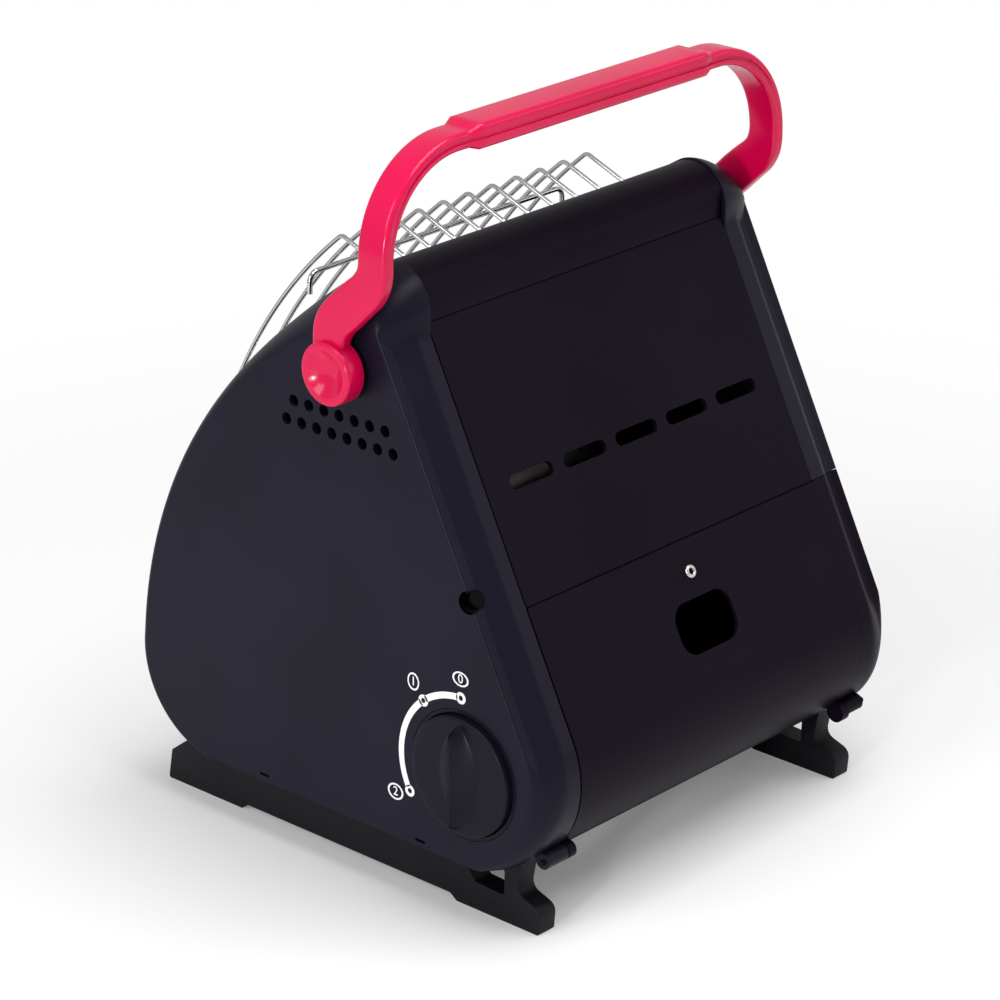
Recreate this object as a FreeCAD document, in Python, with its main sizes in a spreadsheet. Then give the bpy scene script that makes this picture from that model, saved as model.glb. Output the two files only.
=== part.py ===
# Portable gas heater with a carrying bail, built as separate pieces in millimetres.
# +X is the knob side, -Y the burner side, +Y the cartridge side and +Z up.
# The origin is on the ground under the middle of the heater.
# A size written as text is worked out from the others.
import FreeCAD, Part
import math
import os
import re
import Sketcher

document = FreeCAD.newDocument("portable_heater")
sheet = document.addObject("Spreadsheet::Sheet", "Sizes")

SIZES = {
    "casing": {
        "half_width": 129, "cap_depth": 26, "casing_wall": 2.4, "seam_gap": 0.4,
        "front_radius": 332, "front_y": 195.6, "front_z": 22.9,
        "chin_radius": 46, "axis_y": 82.5, "axis_height": 76, "roll_radius": 48,
        "lean_angle": 26.4, "ridge_radius": 20, "ridge_y": 20,
        "shoulder_round": 12, "shoulder_sink": 5.2, "shoulder_shift": 3,
        "brow_drop": 9, "chin_drop": 4, "roll_drop": 11, "lip_drop": 5,
        "vent_radius": 2.9, "vent_pitch": 9.58, "vent_rise": 9.8, "vent_y": -21.9,
        "vent_height": 230.6, "vent_count": 7, "edge_screw_y": 88.7, "edge_screw_z": 162,
        "edge_hole_radius": 3.75, "edge_hole_depth": 11, "post_radius": 6,
    },
    "sheets": {
        "frame_thickness": 1.2, "panel_thickness": 2.6, "panel_top": 198.4, "door_top": 63.6,
        "cover_radius": 17, "cover_sink": 3.8, "cover_thickness": 2, "brow_y": -12.8,
        "brow_lip": 3, "flange_thickness": 2, "flange_overlap": 10, "hook_play": 0.15,
        "slot_length": 29, "slot_height": 6.8, "slot_pitch": 36.4, "slot_count": 5,
        "slot_rise": 118, "base_thickness": 1.5, "sill_angle": 13, "bay_radius": 38,
    },
    "door": {
        "door_skin": 2, "door_depth": 31, "finger_width": 40, "finger_height": 25,
        "finger_rise": 23.5, "finger_corner": 9, "finger_x": -3, "rivet_rise": 48.3,
        "rivet_radius": 3.4, "rivet_bore": 1.5, "rivet_shank": 2.2, "rivet_height": 1.2,
        "hinge_reach": 52, "hinge_dip": 43.8, "barrel_radius": 5, "barrel_reach": 15.5,
        "barrel_lap": 5.5, "barrel_outer": "half_width - cap_depth + barrel_reach",
        "barrel_inner": "half_width - cap_depth - barrel_lap", "pin_radius": 1.5,
        "pin_play": 0.05, "barrel_relief": 0.7,
        "catch_width": 16, "catch_thickness": 0.6, "catch_length": 15, "zone_margin": 10,
    },
    "stand": {
        "stand_inset": 14, "stand_outer": "half_width - stand_inset", "stand_thickness": 11,
        "stand_arch": 3, "toe_y": -129.5,
        "toe_height": 16, "instep_y": -115.5, "instep_height": 24.6, "throat_y": -117,
        "throat_height": 31, "front_seat_y": -113, "front_sole_end": -78, "rear_sole_start": 64.6,
        "heel_y": 115.7, "sole_bevel": 4, "heel_bulge_y": 121.7, "heel_bulge_z": 17.9,
        "leg_y": 110.7, "leg_height": 26.7, "leg_top_y": 112.5, "window_front": 74,
        "window_rear": 96, "window_low": 14.5, "window_high": 25.5, "window_peak": 22.8,
        "toe_top_y": -126.7,
    },
    "burner": {
        "mouth_lean": 28.2, "sheet_thickness": 1.5, "mouth_side": 8,
        "mouth_width": "2 * (half_width - cap_depth - mouth_side)", "mouth_height": 212,
        "mouth_top": 14, "mouth_corner": 14, "bowl_flange": 4, "bowl_wall": 1, "bowl_depth": 62,
        "bowl_width": 130, "bowl_height": 106, "bowl_corner": 10, "burner_drop": 131,
        "burner_width": 104, "burner_height": 82, "burner_fit": 0.4, "burner_front": 56,
        "burner_back": 80, "burner_wall": 1.2, "burner_ledge": 5, "burner_flange": 6,
        "plaque_thickness": 12, "plaque_gap": 0.3, "plaque_sink": 1, "screen_thickness": 0.8,
        "screen_slot": 7, "screen_pitch": 10, "screen_slots": 9, "probe_x": 40, "probe_drop": 47,
        "probe_radius": 2.2, "probe_length": 12, "tip_radius": 0.8, "tip_length": 4,
    },
    "guard": {
        "wire_radius": 1.1, "wire_count": 11, "wire_inset": 3,
        "wire_pitch": "2 * (rod_half_length - wire_inset) / (wire_count - 1)",
        "hook_y": -8, "hook_z": 271,
        "hook_bend_z": 286.5, "crown_y": -33, "crown_z": 296.5, "high_y": -80.6, "high_z": 255.7,
        "low_y": -136.8, "low_z": 142.4, "foot_y": -125.4, "foot_z": 66, "foot_end": 226,
        "hook_bend": 4, "crown_bend": 4, "high_bend": 275, "low_bend": 195, "foot_bend": 4,
        "rod_radius": 1.3, "rod_inset": 15,
        "rod_half_length": "half_width - cap_depth - rod_inset", "rod_drop": 10, "rod_bend": 5,
        "high_rod_y": -51.4, "high_rod_z": 274.5, "middle_rod_y": -108.3, "middle_rod_z": 194,
        "low_rod_y": -126.3, "low_rod_z": 96,
    },
    "gas": {
        "cartridge_radius": 34, "cradle_gap": 0.6, "cradle_thickness": 2, "cradle_inset": 13,
        "cradle_stop": 14, "cradle_start": "-(half_width - cradle_inset)",
        "cradle_length": "socket_x - cradle_start - cradle_stop", "cradle_lip": 20,
        "cradle_foot": 17, "rib_heel": 11.9, "rib_drop": 28, "rib_thickness": 3,
        "rib_inset": 24, "socket_inset": 37,
        "socket_x": "half_width - cap_depth - socket_inset", "socket_depth": 6, "socket_radius": 20,
        "socket_bore": 13, "valve_radius": 19, "bonnet_radius": 9, "bonnet_length": 6.4,
        "pipe_inset": 11, "pipe_x": "half_width - cap_depth - pipe_inset",
        "pipe_radius": 2, "pipe_bend": 9, "jet_radius": 4, "jet_length": 13,
        "jet_tip": 2, "jet_tip_radius": 1.6, "tube_gap": 2.9,
        "tube_depth": "(shield_y - tube_radius - tube_gap - brow_y + burner_drop * sin(mouth_lean * 1 deg))"
                      " / cos(mouth_lean * 1 deg)",
        "tube_radius": 10, "tube_wall": 1, "air_gap": 2.5,
        "tube_start": "half_width - cap_depth - frame_thickness - jet_length - jet_tip - air_gap",
        "tube_bend": 24, "shield_gap": 4.5,
        "shield_y": "axis_y - cartridge_radius - shield_gap", "shield_thickness": 1,
        "shield_foot": 12, "shield_top": 118, "shield_inset": 5, "shield_short": 36,
        "shield_start": "-(half_width - cap_depth - shield_inset)",
        "shield_length": "2 * (half_width - cap_depth) - shield_short",
        "igniter_y": 64, "igniter_z": 117, "igniter_radius": 6.5, "igniter_length": 42,
    },
    "control": {
        "hole_radius": 32, "cup_fit": 0.3, "cup_wall": 1.6, "cup_rim": 2, "cup_bore_gap": 0.5,
        "spindle_radius": 3, "spindle_play": 0.06, "spindle_tail": 8,
        "spindle_start": "half_width - cap_depth - spindle_tail", "push_travel": 3,
        "collar_radius": 6, "collar_length": 1.5, "collar_play": 0.08, "spring_radius": 5.4,
        "spring_wire": 0.3, "spring_turns": 3, "hub_reach": 13.4,
        "hub_start": "half_width - cap_depth + hub_reach", "hub_radius": 9,
        "hub_height": 1.2, "knob_start": "hub_start + hub_height", "knob_proud": 3.6,
        "knob_face": "half_width + knob_proud", "knob_radius": 29.4,
        "grip_length": 53, "grip_width": 23, "grip_rise": 6.4, "crest_length": 46,
        "crest_width": 2.4, "socket_reach": 8,
    },
    "handle": {
        "pivot_y": 11.4, "pivot_z": 255, "arm_gap": 10.4, "arm_outer": "half_width + arm_gap",
        "arm_thickness": 7.5,
        "arm_width": 17, "arm_y": 37.6, "knee_front_z": 305, "knee_rear_z": 306,
        "splice_z": 314, "knee_radius": 26, "neck_radius": 30, "bail_top": 361.8,
        "bail_thickness": 8.3, "bail_radius": 50, "boss_radius": 15, "boss_proud": 3,
        "boss_face": "arm_outer + boss_proud",
        "dish_radius": 11, "dish_depth": 4, "grip_half_length": 78, "grip_slope": 5,
        "grip_over": 2.2, "grip_under": 1.6, "grip_side": 1.5, "stud_radius": 4,
        "stud_play": 0.06, "stud_reach": 5.5, "washer_radius": 9, "washer_play": 0.2,
        "stud_head": 7, "stud_head_length": 2.5, "root_front": 12.9, "root_rise": 7.5,
        "throat_front": 1.5, "throat_rise": 34.5, "elbow_rear": 24.5, "elbow_rise": 31.5,
        "root_rear": 3.8, "root_rear_rise": 12,
    },
    "fasteners": {"screw_radius": 1.5, "screw_head": 3.2, "screw_head_height": 2},
}

NUMBERS = {name: number for group in SIZES.values() for name, number in group.items()}
for row, name in enumerate(NUMBERS, 1):
    sheet.set(f"A{row}", name)
    sheet.set(f"B{row}", "0")
    sheet.setAlias(f"B{row}", name)
document.recompute()
for row, number in enumerate(NUMBERS.values(), 1):
    sheet.set(f"B{row}", f"={number}" if isinstance(number, str) else str(number))
document.recompute()

NAMES = re.compile(r"\b(" + "|".join(NUMBERS) + r")\b")
X_AXIS = FreeCAD.Vector(1, 0, 0)
PIECES = []


def bound(text):
    """Turn a formula in plain names into one that reads the sheet."""
    return NAMES.sub(r"Sizes.\1", str(text))


def value(text):
    """Work out a formula from the sheet."""
    return float(sheet.evalExpression(bound(text)))


def vector(x, y, z=0):
    return FreeCAD.Vector(x, y, z)


# Lengths that several pieces share, as formulas of the driving sizes.
LEAN_COS = "cos(lean_angle * 1 deg)"
LEAN_SIN = "sin(lean_angle * 1 deg)"
MOUTH_COS = "cos(mouth_lean * 1 deg)"
MOUTH_SIN = "sin(mouth_lean * 1 deg)"
SEAM = "(half_width - cap_depth)"
SHEET_HALF = f"({SEAM} - seam_gap)"
FRAME_INNER = f"({SEAM} - frame_thickness)"
TUCKED_HALF = f"({FRAME_INNER} - seam_gap)"
FLOOR = "(axis_height - chin_radius)"
FLOOR_TOP = f"({FLOOR} + base_thickness)"
CHIN_Y = "(front_y - sqrt((front_radius - chin_radius) ^ 2 - (axis_height - front_z) ^ 2))"
RIDGE_Z = "(front_z + sqrt((front_radius - ridge_radius) ^ 2 - (front_y - ridge_y) ^ 2))"
ROLL_FLOOR_Y = "(axis_y + sqrt(roll_radius ^ 2 - chin_radius ^ 2))"
COVER_Z = f"({RIDGE_Z} - cover_sink)"
COVER_SPAN = f"sqrt((front_y - ridge_y) ^ 2 + ({COVER_Z} - front_z) ^ 2)"
COVER_FRONT = f"({COVER_SPAN} + cover_radius)"
COVER_INNER = "(cover_radius - cover_thickness)"
COVER_FRONT_INNER = f"({COVER_FRONT} - cover_thickness)"
BROW_Z = f"(front_z + sqrt({COVER_FRONT_INNER} ^ 2 - (front_y - brow_y) ^ 2))"
PANEL_UNDER = "(roll_radius - panel_thickness)"
CHIN_INNER = "(chin_radius - base_thickness)"
CHIN_ALONG = (f"((brow_y - {CHIN_Y}) * {MOUTH_SIN} + ({BROW_Z} - axis_height) * {MOUTH_COS})")
CHIN_ACROSS = (f"((brow_y - {CHIN_Y}) ^ 2 + ({BROW_Z} - axis_height) ^ 2 - {CHIN_INNER} ^ 2)")
MOUTH_LENGTH = f"({CHIN_ALONG} + sqrt({CHIN_ALONG} ^ 2 - {CHIN_ACROSS}))"
HINGE_Y = "(axis_y + hinge_reach * cos(hinge_dip * 1 deg))"
HINGE_Z = "(axis_height - hinge_reach * sin(hinge_dip * 1 deg))"
ARM_INNER = "(arm_outer - arm_thickness)"
TUBE_Y = f"(brow_y - burner_drop * {MOUTH_SIN} + tube_depth * {MOUTH_COS})"
TUBE_Z = f"({BROW_Z} - burner_drop * {MOUTH_COS} - tube_depth * {MOUTH_SIN})"
CAVITY = "(roll_radius - door_depth)"


def circle_z(y, centre_y, centre_z, radius, sign="+"):
    """Height of a circle of the YZ plane at y, above or below its centre."""
    return f"({centre_z} {sign} sqrt({radius} ^ 2 - ({y} - {centre_y}) ^ 2))"


def lean_point(down, out):
    """Point of the YZ plane given down the rear slope and out from the roll axis."""
    return (f"(axis_y + ({down}) * {LEAN_SIN} + ({out}) * {LEAN_COS})",
            f"(axis_height - ({down}) * {LEAN_COS} + ({out}) * {LEAN_SIN})")


def polar(centre_y, centre_z, radius, degrees):
    """Point of the YZ plane on a circle at an angle from +Y towards +Z."""
    return (f"({centre_y} + {radius} * cos({degrees} * 1 deg))",
            f"({centre_z} + {radius} * sin({degrees} * 1 deg))")


def front_side(centre_y, centre_z, radius, span):
    """Point where a circle inside the front curve touches it, seen from the front curve's centre."""
    return (f"({centre_y} - {radius} * (front_y - {centre_y}) / {span})",
            f"({centre_z} + {radius} * ({centre_z} - front_z) / {span})")


# Drawing helpers
def place(item, x="0", y="0", z="0", angle=None):
    """Put a piece at a point, turned about X where an angle is given."""
    turn = value(angle) if angle else 0
    item.Placement = FreeCAD.Placement(vector(0, 0), FreeCAD.Rotation(X_AXIS, turn))
    for axis, text in zip("xyz", (x, y, z)):
        item.setExpression(f"Placement.Base.{axis}", bound(text))
    if angle:
        item.setExpression("Placement.Rotation.Angle", bound(angle))
    return item


def in_slope(item):
    """Lay a piece in the rear slope: Y runs down it and Z out of it, from the roll's axis."""
    return place(item, y="axis_y", z="axis_height", angle="-(90 - lean_angle)")


def in_mouth(item):
    """Lay a piece in the front opening: Y runs up it and Z out of it, from the brow."""
    return place(item, y="brow_y", z=BROW_Z, angle="90 - mouth_lean")


def piece(item, label):
    """Name a finished sub-part."""
    item.Label = label
    PIECES.append(item)
    return item


def new_body(name):
    return document.addObject("PartDesign::Body", name)


def new_sketch(body, plane, offset="0"):
    """Start a sketch on one of the body's own planes, moved along its normal."""
    sketch = body.newObject("Sketcher::SketchObject", body.Name + "_sketch")
    support = [item for item in body.Origin.OriginFeatures if item.Role == plane][0]
    sketch.AttachmentSupport = [(support, "")]
    sketch.MapMode = "FlatFace"
    sketch.setExpression("AttachmentOffset.Base.z", bound(offset))
    return sketch


def hold(sketch, kind, text, *target):
    """Add a constraint whose number is a formula."""
    rule = sketch.addConstraint(Sketcher.Constraint(kind, *target, value(text)))
    sketch.setExpression(f"Constraints[{rule}]", bound(text))


def pin_point(sketch, geometry, end, x, y):
    """Hold a point at a place given by two formulas."""
    hold(sketch, "DistanceX", x, -1, 1, geometry, end)
    hold(sketch, "DistanceY", y, -1, 1, geometry, end)


def add_arc(sketch, centre, radius, first, last):
    """Add an arc that runs anticlockwise from one point to another."""
    angles = [math.atan2((p - centre).y, (p - centre).x) for p in (first, last)]
    circle = Part.Circle(centre, vector(0, 0, 1), radius)
    return sketch.addGeometry(Part.ArcOfCircle(circle, angles[0], angles[1]), False)


def draw_outline(sketch, steps):
    """Draw a closed outline. A step is a corner; where an arc leaves it, the step also holds the
    arc's radius and 1 for an anticlockwise arc or -1 for a clockwise one."""
    corners = [vector(value(step[0]), value(step[1])) for step in steps]
    lines = []
    ends = []
    for index, step in enumerate(steps):
        start = corners[index]
        end = corners[(index + 1) % len(steps)]
        if len(step) == 2:
            lines.append(sketch.addGeometry(Part.LineSegment(start, end), False))
            ends.append((1, 2))
            continue
        radius, turn = value(step[2]), step[3]
        chord = end - start
        height = math.sqrt(max(radius ** 2 - (chord.Length / 2) ** 2, 0))
        centre = (start + end) * 0.5 + vector(-chord.y, chord.x).normalize() * height * turn
        first, last = (start, end) if turn > 0 else (end, start)
        lines.append(add_arc(sketch, centre, radius, first, last))
        hold(sketch, "Radius", step[2], lines[-1])
        ends.append((1, 2) if turn > 0 else (2, 1))
    for index, step in enumerate(steps):
        after = (index + 1) % len(steps)
        sketch.addConstraint(Sketcher.Constraint(
            "Coincident", lines[index], ends[index][1], lines[after], ends[after][0]))
        pin_point(sketch, lines[index], ends[index][0], step[0], step[1])
    return sketch


def draw_route(sketch, corners):
    """Draw an open route of straight runs joined by arcs that touch them. Each corner is a point
    and the radius of the bend there; the first and the last corners are the ends."""
    points = [vector(value(corner[0]), value(corner[1])) for corner in corners]
    bends = []
    for index in range(1, len(points) - 1):
        point = points[index]
        back = (points[index - 1] - point).normalize()
        ahead = (points[index + 1] - point).normalize()
        half = back.getAngle(ahead) / 2
        radius = value(corners[index][2])
        reach = radius / math.tan(half)
        centre = point + (back + ahead).normalize() * (radius / math.sin(half))
        left = (back.x * ahead.y - back.y * ahead.x) < 0
        bends.append((point + back * reach, point + ahead * reach, centre, radius, left))
    starts = [points[0]] + [bend[1] for bend in bends]
    stops = [bend[0] for bend in bends] + [points[-1]]
    runs = [sketch.addGeometry(Part.LineSegment(a, b), False) for a, b in zip(starts, stops)]
    for index, (first, last, centre, radius, left) in enumerate(bends):
        arc = add_arc(sketch, centre, radius, *((first, last) if left else (last, first)))
        enter, leave = (1, 2) if left else (2, 1)
        corner = sketch.addGeometry(Part.Point(points[index + 1]), True)
        sketch.addConstraint(Sketcher.Constraint("Tangent", runs[index], 2, arc, enter))
        sketch.addConstraint(Sketcher.Constraint("Tangent", arc, leave, runs[index + 1], 1))
        hold(sketch, "Radius", corners[index + 1][2], arc)
        pin_point(sketch, corner, 1, *corners[index + 1][:2])
        sketch.addConstraint(Sketcher.Constraint("PointOnObject", corner, 1, runs[index]))
        sketch.addConstraint(Sketcher.Constraint("PointOnObject", corner, 1, runs[index + 1]))
    pin_point(sketch, runs[0], 1, *corners[0][:2])
    pin_point(sketch, runs[-1], 2, *corners[-1][:2])
    return sketch


def draw_circle(sketch, x, y, radius):
    """Draw a circle whose centre and radius are formulas."""
    centre = vector(value(x), value(y))
    circle = sketch.addGeometry(Part.Circle(centre, vector(0, 0, 1), value(radius)), False)
    pin_point(sketch, circle, 3, x, y)
    hold(sketch, "Radius", radius, circle)
    return sketch


def rectangle(left, low, right, high):
    return [(left, low), (right, low), (right, high), (left, high)]


def rounded(width, height, corner, x="0", y="0"):
    """Outline of a rectangle with round corners about a centre."""
    left, right = f"({x} - {width} / 2)", f"({x} + {width} / 2)"
    low, high = f"({y} - {height} / 2)", f"({y} + {height} / 2)"
    return [
        (f"{left} + {corner}", low), (f"{right} - {corner}", low, corner, 1),
        (right, f"{low} + {corner}"), (right, f"{high} - {corner}", corner, 1),
        (f"{right} - {corner}", high), (f"{left} + {corner}", high, corner, 1),
        (left, f"{high} - {corner}"), (left, f"{low} + {corner}", corner, 1),
    ]


def extrude(sketch, length, cut=False, reverse=False, both=False):
    """Pad or pocket a sketch by a length given as a formula."""
    body = sketch.getParentGeoFeatureGroup()
    kind = "Pocket" if cut else "Pad"
    feature = body.newObject("PartDesign::" + kind, f"{body.Name}_{kind.lower()}")
    feature.Profile = sketch
    feature.setExpression("Length", bound(length))
    feature.Reversed = reverse
    feature.Midplane = both
    return feature


def loft(profile, section, cut=False):
    """Blend two sketches of a body into material, or into a hollow."""
    body = profile.getParentGeoFeatureGroup()
    kind = "SubtractiveLoft" if cut else "AdditiveLoft"
    feature = body.newObject("PartDesign::" + kind, f"{body.Name}_{kind}")
    feature.Profile = profile
    feature.Sections = [section]
    feature.Ruled = True
    return feature


def pipe(profile, route):
    """Carry a profile along a route."""
    body = profile.getParentGeoFeatureGroup()
    feature = body.newObject("PartDesign::AdditivePipe", body.Name + "_pipe")
    feature.Profile = profile
    feature.Spine = (route, [])
    return feature


def repeat_along(feature, sketch, pitch, count):
    """Repeat a feature along its sketch's first axis, count times at a pitch."""
    body = sketch.getParentGeoFeatureGroup()
    pattern = body.newObject("PartDesign::LinearPattern", body.Name + "_pattern")
    pattern.Originals = [feature]
    pattern.Direction = (sketch, ["H_Axis"])
    pattern.setExpression("Length", bound(f"({count} - 1) * {pitch}"))
    pattern.setExpression("Occurrences", bound(count))
    body.Tip = pattern
    return pattern


def cylinder(name, radius, length, x, y, z):
    """A cylinder along X that starts at a point."""
    item = document.addObject("Part::Cylinder", name)
    item.setExpression("Radius", bound(radius))
    item.setExpression("Height", bound(length))
    item.Placement = FreeCAD.Placement(vector(0, 0), FreeCAD.Rotation(vector(0, 1, 0), 90))
    for axis, text in zip("xyz", (x, y, z)):
        item.setExpression(f"Placement.Base.{axis}", bound(text))
    return item


def fuse(name, parts):
    item = document.addObject("Part::MultiFuse", name)
    item.Shapes = parts
    return item


def common(name, parts):
    item = document.addObject("Part::MultiCommon", name)
    item.Shapes = parts
    return item


def cut(name, base, tools):
    """Take tools away from a base."""
    item = document.addObject("Part::Cut", name)
    item.Base = base
    item.Tool = tools[0] if len(tools) == 1 else fuse(name + "_tools", tools)
    return item


def held_shape(name, shape):
    """Hold a shape that was worked out from the sheet."""
    item = document.addObject("Part::Feature", name)
    item.Shape = shape
    return item


# The casing's side outline, worked out at a depth in from the outer face
def fallen(depth, reach):
    """Share from 0 to 1 that a quarter-round edge has fallen at a depth in from the face."""
    share = min(max(1 - depth / reach, 0), 1)
    return 1 - math.sqrt(1 - share ** 2)


def lip_fall(depth):
    """The rear border's fall: flat by the seam, then a valley, then a crisp lip at the face."""
    drop = value("lip_drop")
    flat, valley = value("cap_depth") * 0.65, value("cap_depth") * 0.23
    if depth >= flat:
        return 0
    if depth >= valley:
        return drop * 1.2 * (flat - depth) / (flat - valley)
    return drop * (1 + 0.2 * depth / valley)


def cap_section(x, depth, inset):
    """The casing's outline as a closed wire at x, fallen as its edges ask and inset evenly."""
    lean = math.radians(value("lean_angle"))
    outward = vector(math.cos(lean), math.sin(lean))
    front = vector(value("front_y"), value("front_z"))
    chin = vector(value(CHIN_Y), value("axis_height"))
    roll = vector(value("axis_y"), value("axis_height"))
    top = fallen(depth, value("cap_depth"))
    ridge = vector(value("ridge_y") + value("shoulder_shift") * top,
                   value(RIDGE_Z) - value("shoulder_sink") * top)
    ridge_round = value("ridge_radius") - value("shoulder_round") * top - inset
    brow = value("brow_drop") * fallen(depth, value("cap_depth") * 0.55) + inset
    jaw = value("chin_drop") * fallen(depth, value("cap_depth") * 0.25) + inset
    hip = value("roll_drop") * fallen(depth, value("cap_depth") * 0.55) + inset
    lip = lip_fall(depth) + inset
    floor = value(FLOOR) + inset

    def on(centre, radius, angle):
        return centre + vector(math.cos(angle), math.sin(angle)) * radius

    def on_slope(z):
        out = (roll - vector(0, z)).dot(outward) + value("roll_radius") - lip
        return vector(out / outward.x, z)

    high = math.atan2(value(RIDGE_Z) - front.y, value("ridge_y") - front.x)
    low = math.atan2(chin.y - front.y, chin.x - front.x)
    rear_angle = lean * top
    front_top = on(ridge, ridge_round, high)
    rear_top = on(ridge, ridge_round, rear_angle)
    slope_z = (roll.dot(outward) + value("roll_radius") - lip - rear_top.x * outward.x) / outward.y
    slope_top = on_slope(min(slope_z, rear_top.y - 1.5))
    front_low = on(front, value("front_radius") - jaw, low)
    roll_floor = vector(value(ROLL_FLOOR_Y) - hip * 0.6, floor)
    roll_top = roll + outward * (value("roll_radius") - lip)
    roll_low = math.atan2(roll_floor.y - roll.y, roll_floor.x - roll.x)

    def at(point):
        return vector(x, point.x, point.y)

    def arc(start, middle, end):
        return Part.Arc(at(start), at(middle), at(end)).toShape()

    def line(start, end):
        return Part.LineSegment(at(start), at(end)).toShape()

    return Part.Wire([
        arc(front_low, on(front, value("front_radius") - brow, (high + low) / 2), front_top),
        arc(front_top, on(ridge, ridge_round, (high + rear_angle) / 2), rear_top),
        line(rear_top, slope_top),
        line(slope_top, roll_top),
        arc(roll_top, on(roll, value("roll_radius") - hip, (lean + roll_low) / 2), roll_floor),
        line(roll_floor, vector(chin.x, floor)),
        arc(vector(chin.x, floor), on(chin, value("chin_radius") - jaw, (low + math.pi * 3.5) / 2
                                      - math.pi), front_low),
    ])


# Stations of the end cap's sections, as shares of its depth in from the outer face.
STATIONS = (1, 0.65, 0.42, 0.23, 0.1, 0.03, 0)


def cap_lofts(side):
    """The outer form of an end cap and the hollow inside it."""
    half, depth, wall = value("half_width"), value("cap_depth"), value("casing_wall")
    outer = [cap_section(side * (half - depth * s), depth * s, 0) for s in STATIONS]
    inner = [cap_section(side * (half - wall - depth * s), depth * s, wall) for s in STATIONS]
    return Part.makeLoft(outer, True, True), Part.makeLoft(inner, True, True)


def door_zone(name, clearance):
    """The block of space that the door takes out of the far end cap and its side frame."""
    item = document.addObject("Part::Box", name)
    item.setExpression("Length", bound("cap_depth + 2 * zone_margin"))
    item.setExpression("Width", bound(f"door_top + roll_radius + zone_margin + {clearance}"))
    item.setExpression("Height", bound(f"door_depth + zone_margin + {clearance}"))
    down = f"(-door_top - {clearance})"
    out = f"({CAVITY} - {clearance})"
    y, z = lean_point(down, out)
    return place(item, "-half_width - zone_margin", y, z, "-(90 - lean_angle)")


# End caps
vents = []
for line, extra in enumerate((0, 1)):
    for index in range(int(value("vent_count")) + extra):
        vents.append(cylinder(
            f"vent_{line}_{index}", "vent_radius", "2 * half_width + 2", "-half_width - 1",
            f"vent_y + ({index} - {extra} / 2) * vent_pitch", f"vent_height - {line} * vent_rise"))
stud_hole = cylinder("stud_hole", "stud_radius", "2 * half_width + 2", "-half_width - 1",
                     "pivot_y", "pivot_z")
pin_hole = cylinder("pin_hole", "pin_radius", "2 * half_width", "-half_width", HINGE_Y, HINGE_Z)
SCREW_SEAT = "(half_width - edge_hole_depth)"


def end_cap(side, label, extra_solids, extra_cuts):
    """A deep moulded tray with a post for the screw that holds it, and its holes."""
    outer, inner = cap_lofts(side)
    outer_form = held_shape(label + "_form", outer)
    shell = held_shape(label + "_shell", outer.cut(inner))
    start = SEAM if side > 0 else "-half_width"
    post = cylinder(label + "_post", "post_radius", "cap_depth", start, "edge_screw_y",
                    "edge_screw_z")
    recess_start = SCREW_SEAT if side > 0 else "-half_width - 1"
    recess = cylinder(label + "_recess", "edge_hole_radius", "edge_hole_depth + 1", recess_start,
                      "edge_screw_y", "edge_screw_z")
    bore = cylinder(label + "_bore", "screw_radius", "cap_depth", start, "edge_screw_y",
                    "edge_screw_z")
    trimmed_post = common(label + "_trimmed_post", [post, outer_form])
    solid = fuse(label + "_solid", [shell, trimmed_post] + extra_solids)
    tools = vents + [stud_hole, recess, bore] + extra_cuts
    return piece(cut(label, solid, tools), label)


knob_hole = cylinder("knob_hole", "hole_radius", "cap_depth", "half_width - cap_depth / 2",
                     "axis_y", "axis_height")
right_barrel = cylinder("right_barrel", "barrel_radius", f"barrel_outer - {SEAM}", SEAM,
                        HINGE_Y, HINGE_Z)
far_relief = cylinder("far_relief", "barrel_radius + barrel_relief",
                      f"barrel_outer - {SEAM} + 2 * barrel_relief",
                      "-barrel_outer - barrel_relief", HINGE_Y, HINGE_Z)
wide_zone = door_zone("wide_zone", "seam_gap")
end_cap(1, "side_panel_right", [right_barrel], [knob_hole, pin_hole])
end_cap(-1, "side_panel_left", [], [wide_zone, far_relief])


# Side frames: sheet plates that carry the cover, the panel and the base on their edges
def side_frame(name, x):
    """The plate's outline follows the undersides of the sheets that lie on it."""
    body = new_body(name)
    sketch = new_sketch(body, "YZ_Plane", x)
    rear_y = f"(ridge_y + {COVER_INNER})"
    slope_z = f"(axis_height + ({PANEL_UNDER} - ({rear_y} - axis_y) * {LEAN_COS}) / {LEAN_SIN})"
    floor_y = f"(axis_y + sqrt({PANEL_UNDER} ^ 2 - (axis_height - {FLOOR_TOP}) ^ 2))"
    brow_touch = front_side("ridge_y", COVER_Z, COVER_INNER, COVER_SPAN)
    chin_front = (f"(brow_y - {MOUTH_LENGTH} * {MOUTH_SIN})", f"({BROW_Z} - {MOUTH_LENGTH} * {MOUTH_COS})")
    draw_outline(sketch, [
        (CHIN_Y, FLOOR_TOP), (floor_y, FLOOR_TOP, PANEL_UNDER, 1), lean_point("0", PANEL_UNDER),
        (rear_y, slope_z), (rear_y, COVER_Z, COVER_INNER, 1),
        (*brow_touch, COVER_FRONT_INNER, 1), ("brow_y", BROW_Z), (*chin_front, CHIN_INNER, 1),
    ])
    extrude(sketch, "frame_thickness")
    return body


right_frame = side_frame("right_frame", FRAME_INNER)
extrude(draw_circle(new_sketch(right_frame, "YZ_Plane", SEAM), "axis_y", "axis_height",
                    "bonnet_radius"), "frame_thickness", cut=True)
piece(right_frame, "side_frame_right")
left_frame = side_frame("left_frame", f"-{SEAM}")
extrude(draw_circle(new_sketch(left_frame, "YZ_Plane", f"-{FRAME_INNER}"), "axis_y", "axis_height",
                    "bay_radius"), "frame_thickness", cut=True)
piece(cut("side_frame_left", left_frame, [wide_zone]), "side_frame_left")

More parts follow.
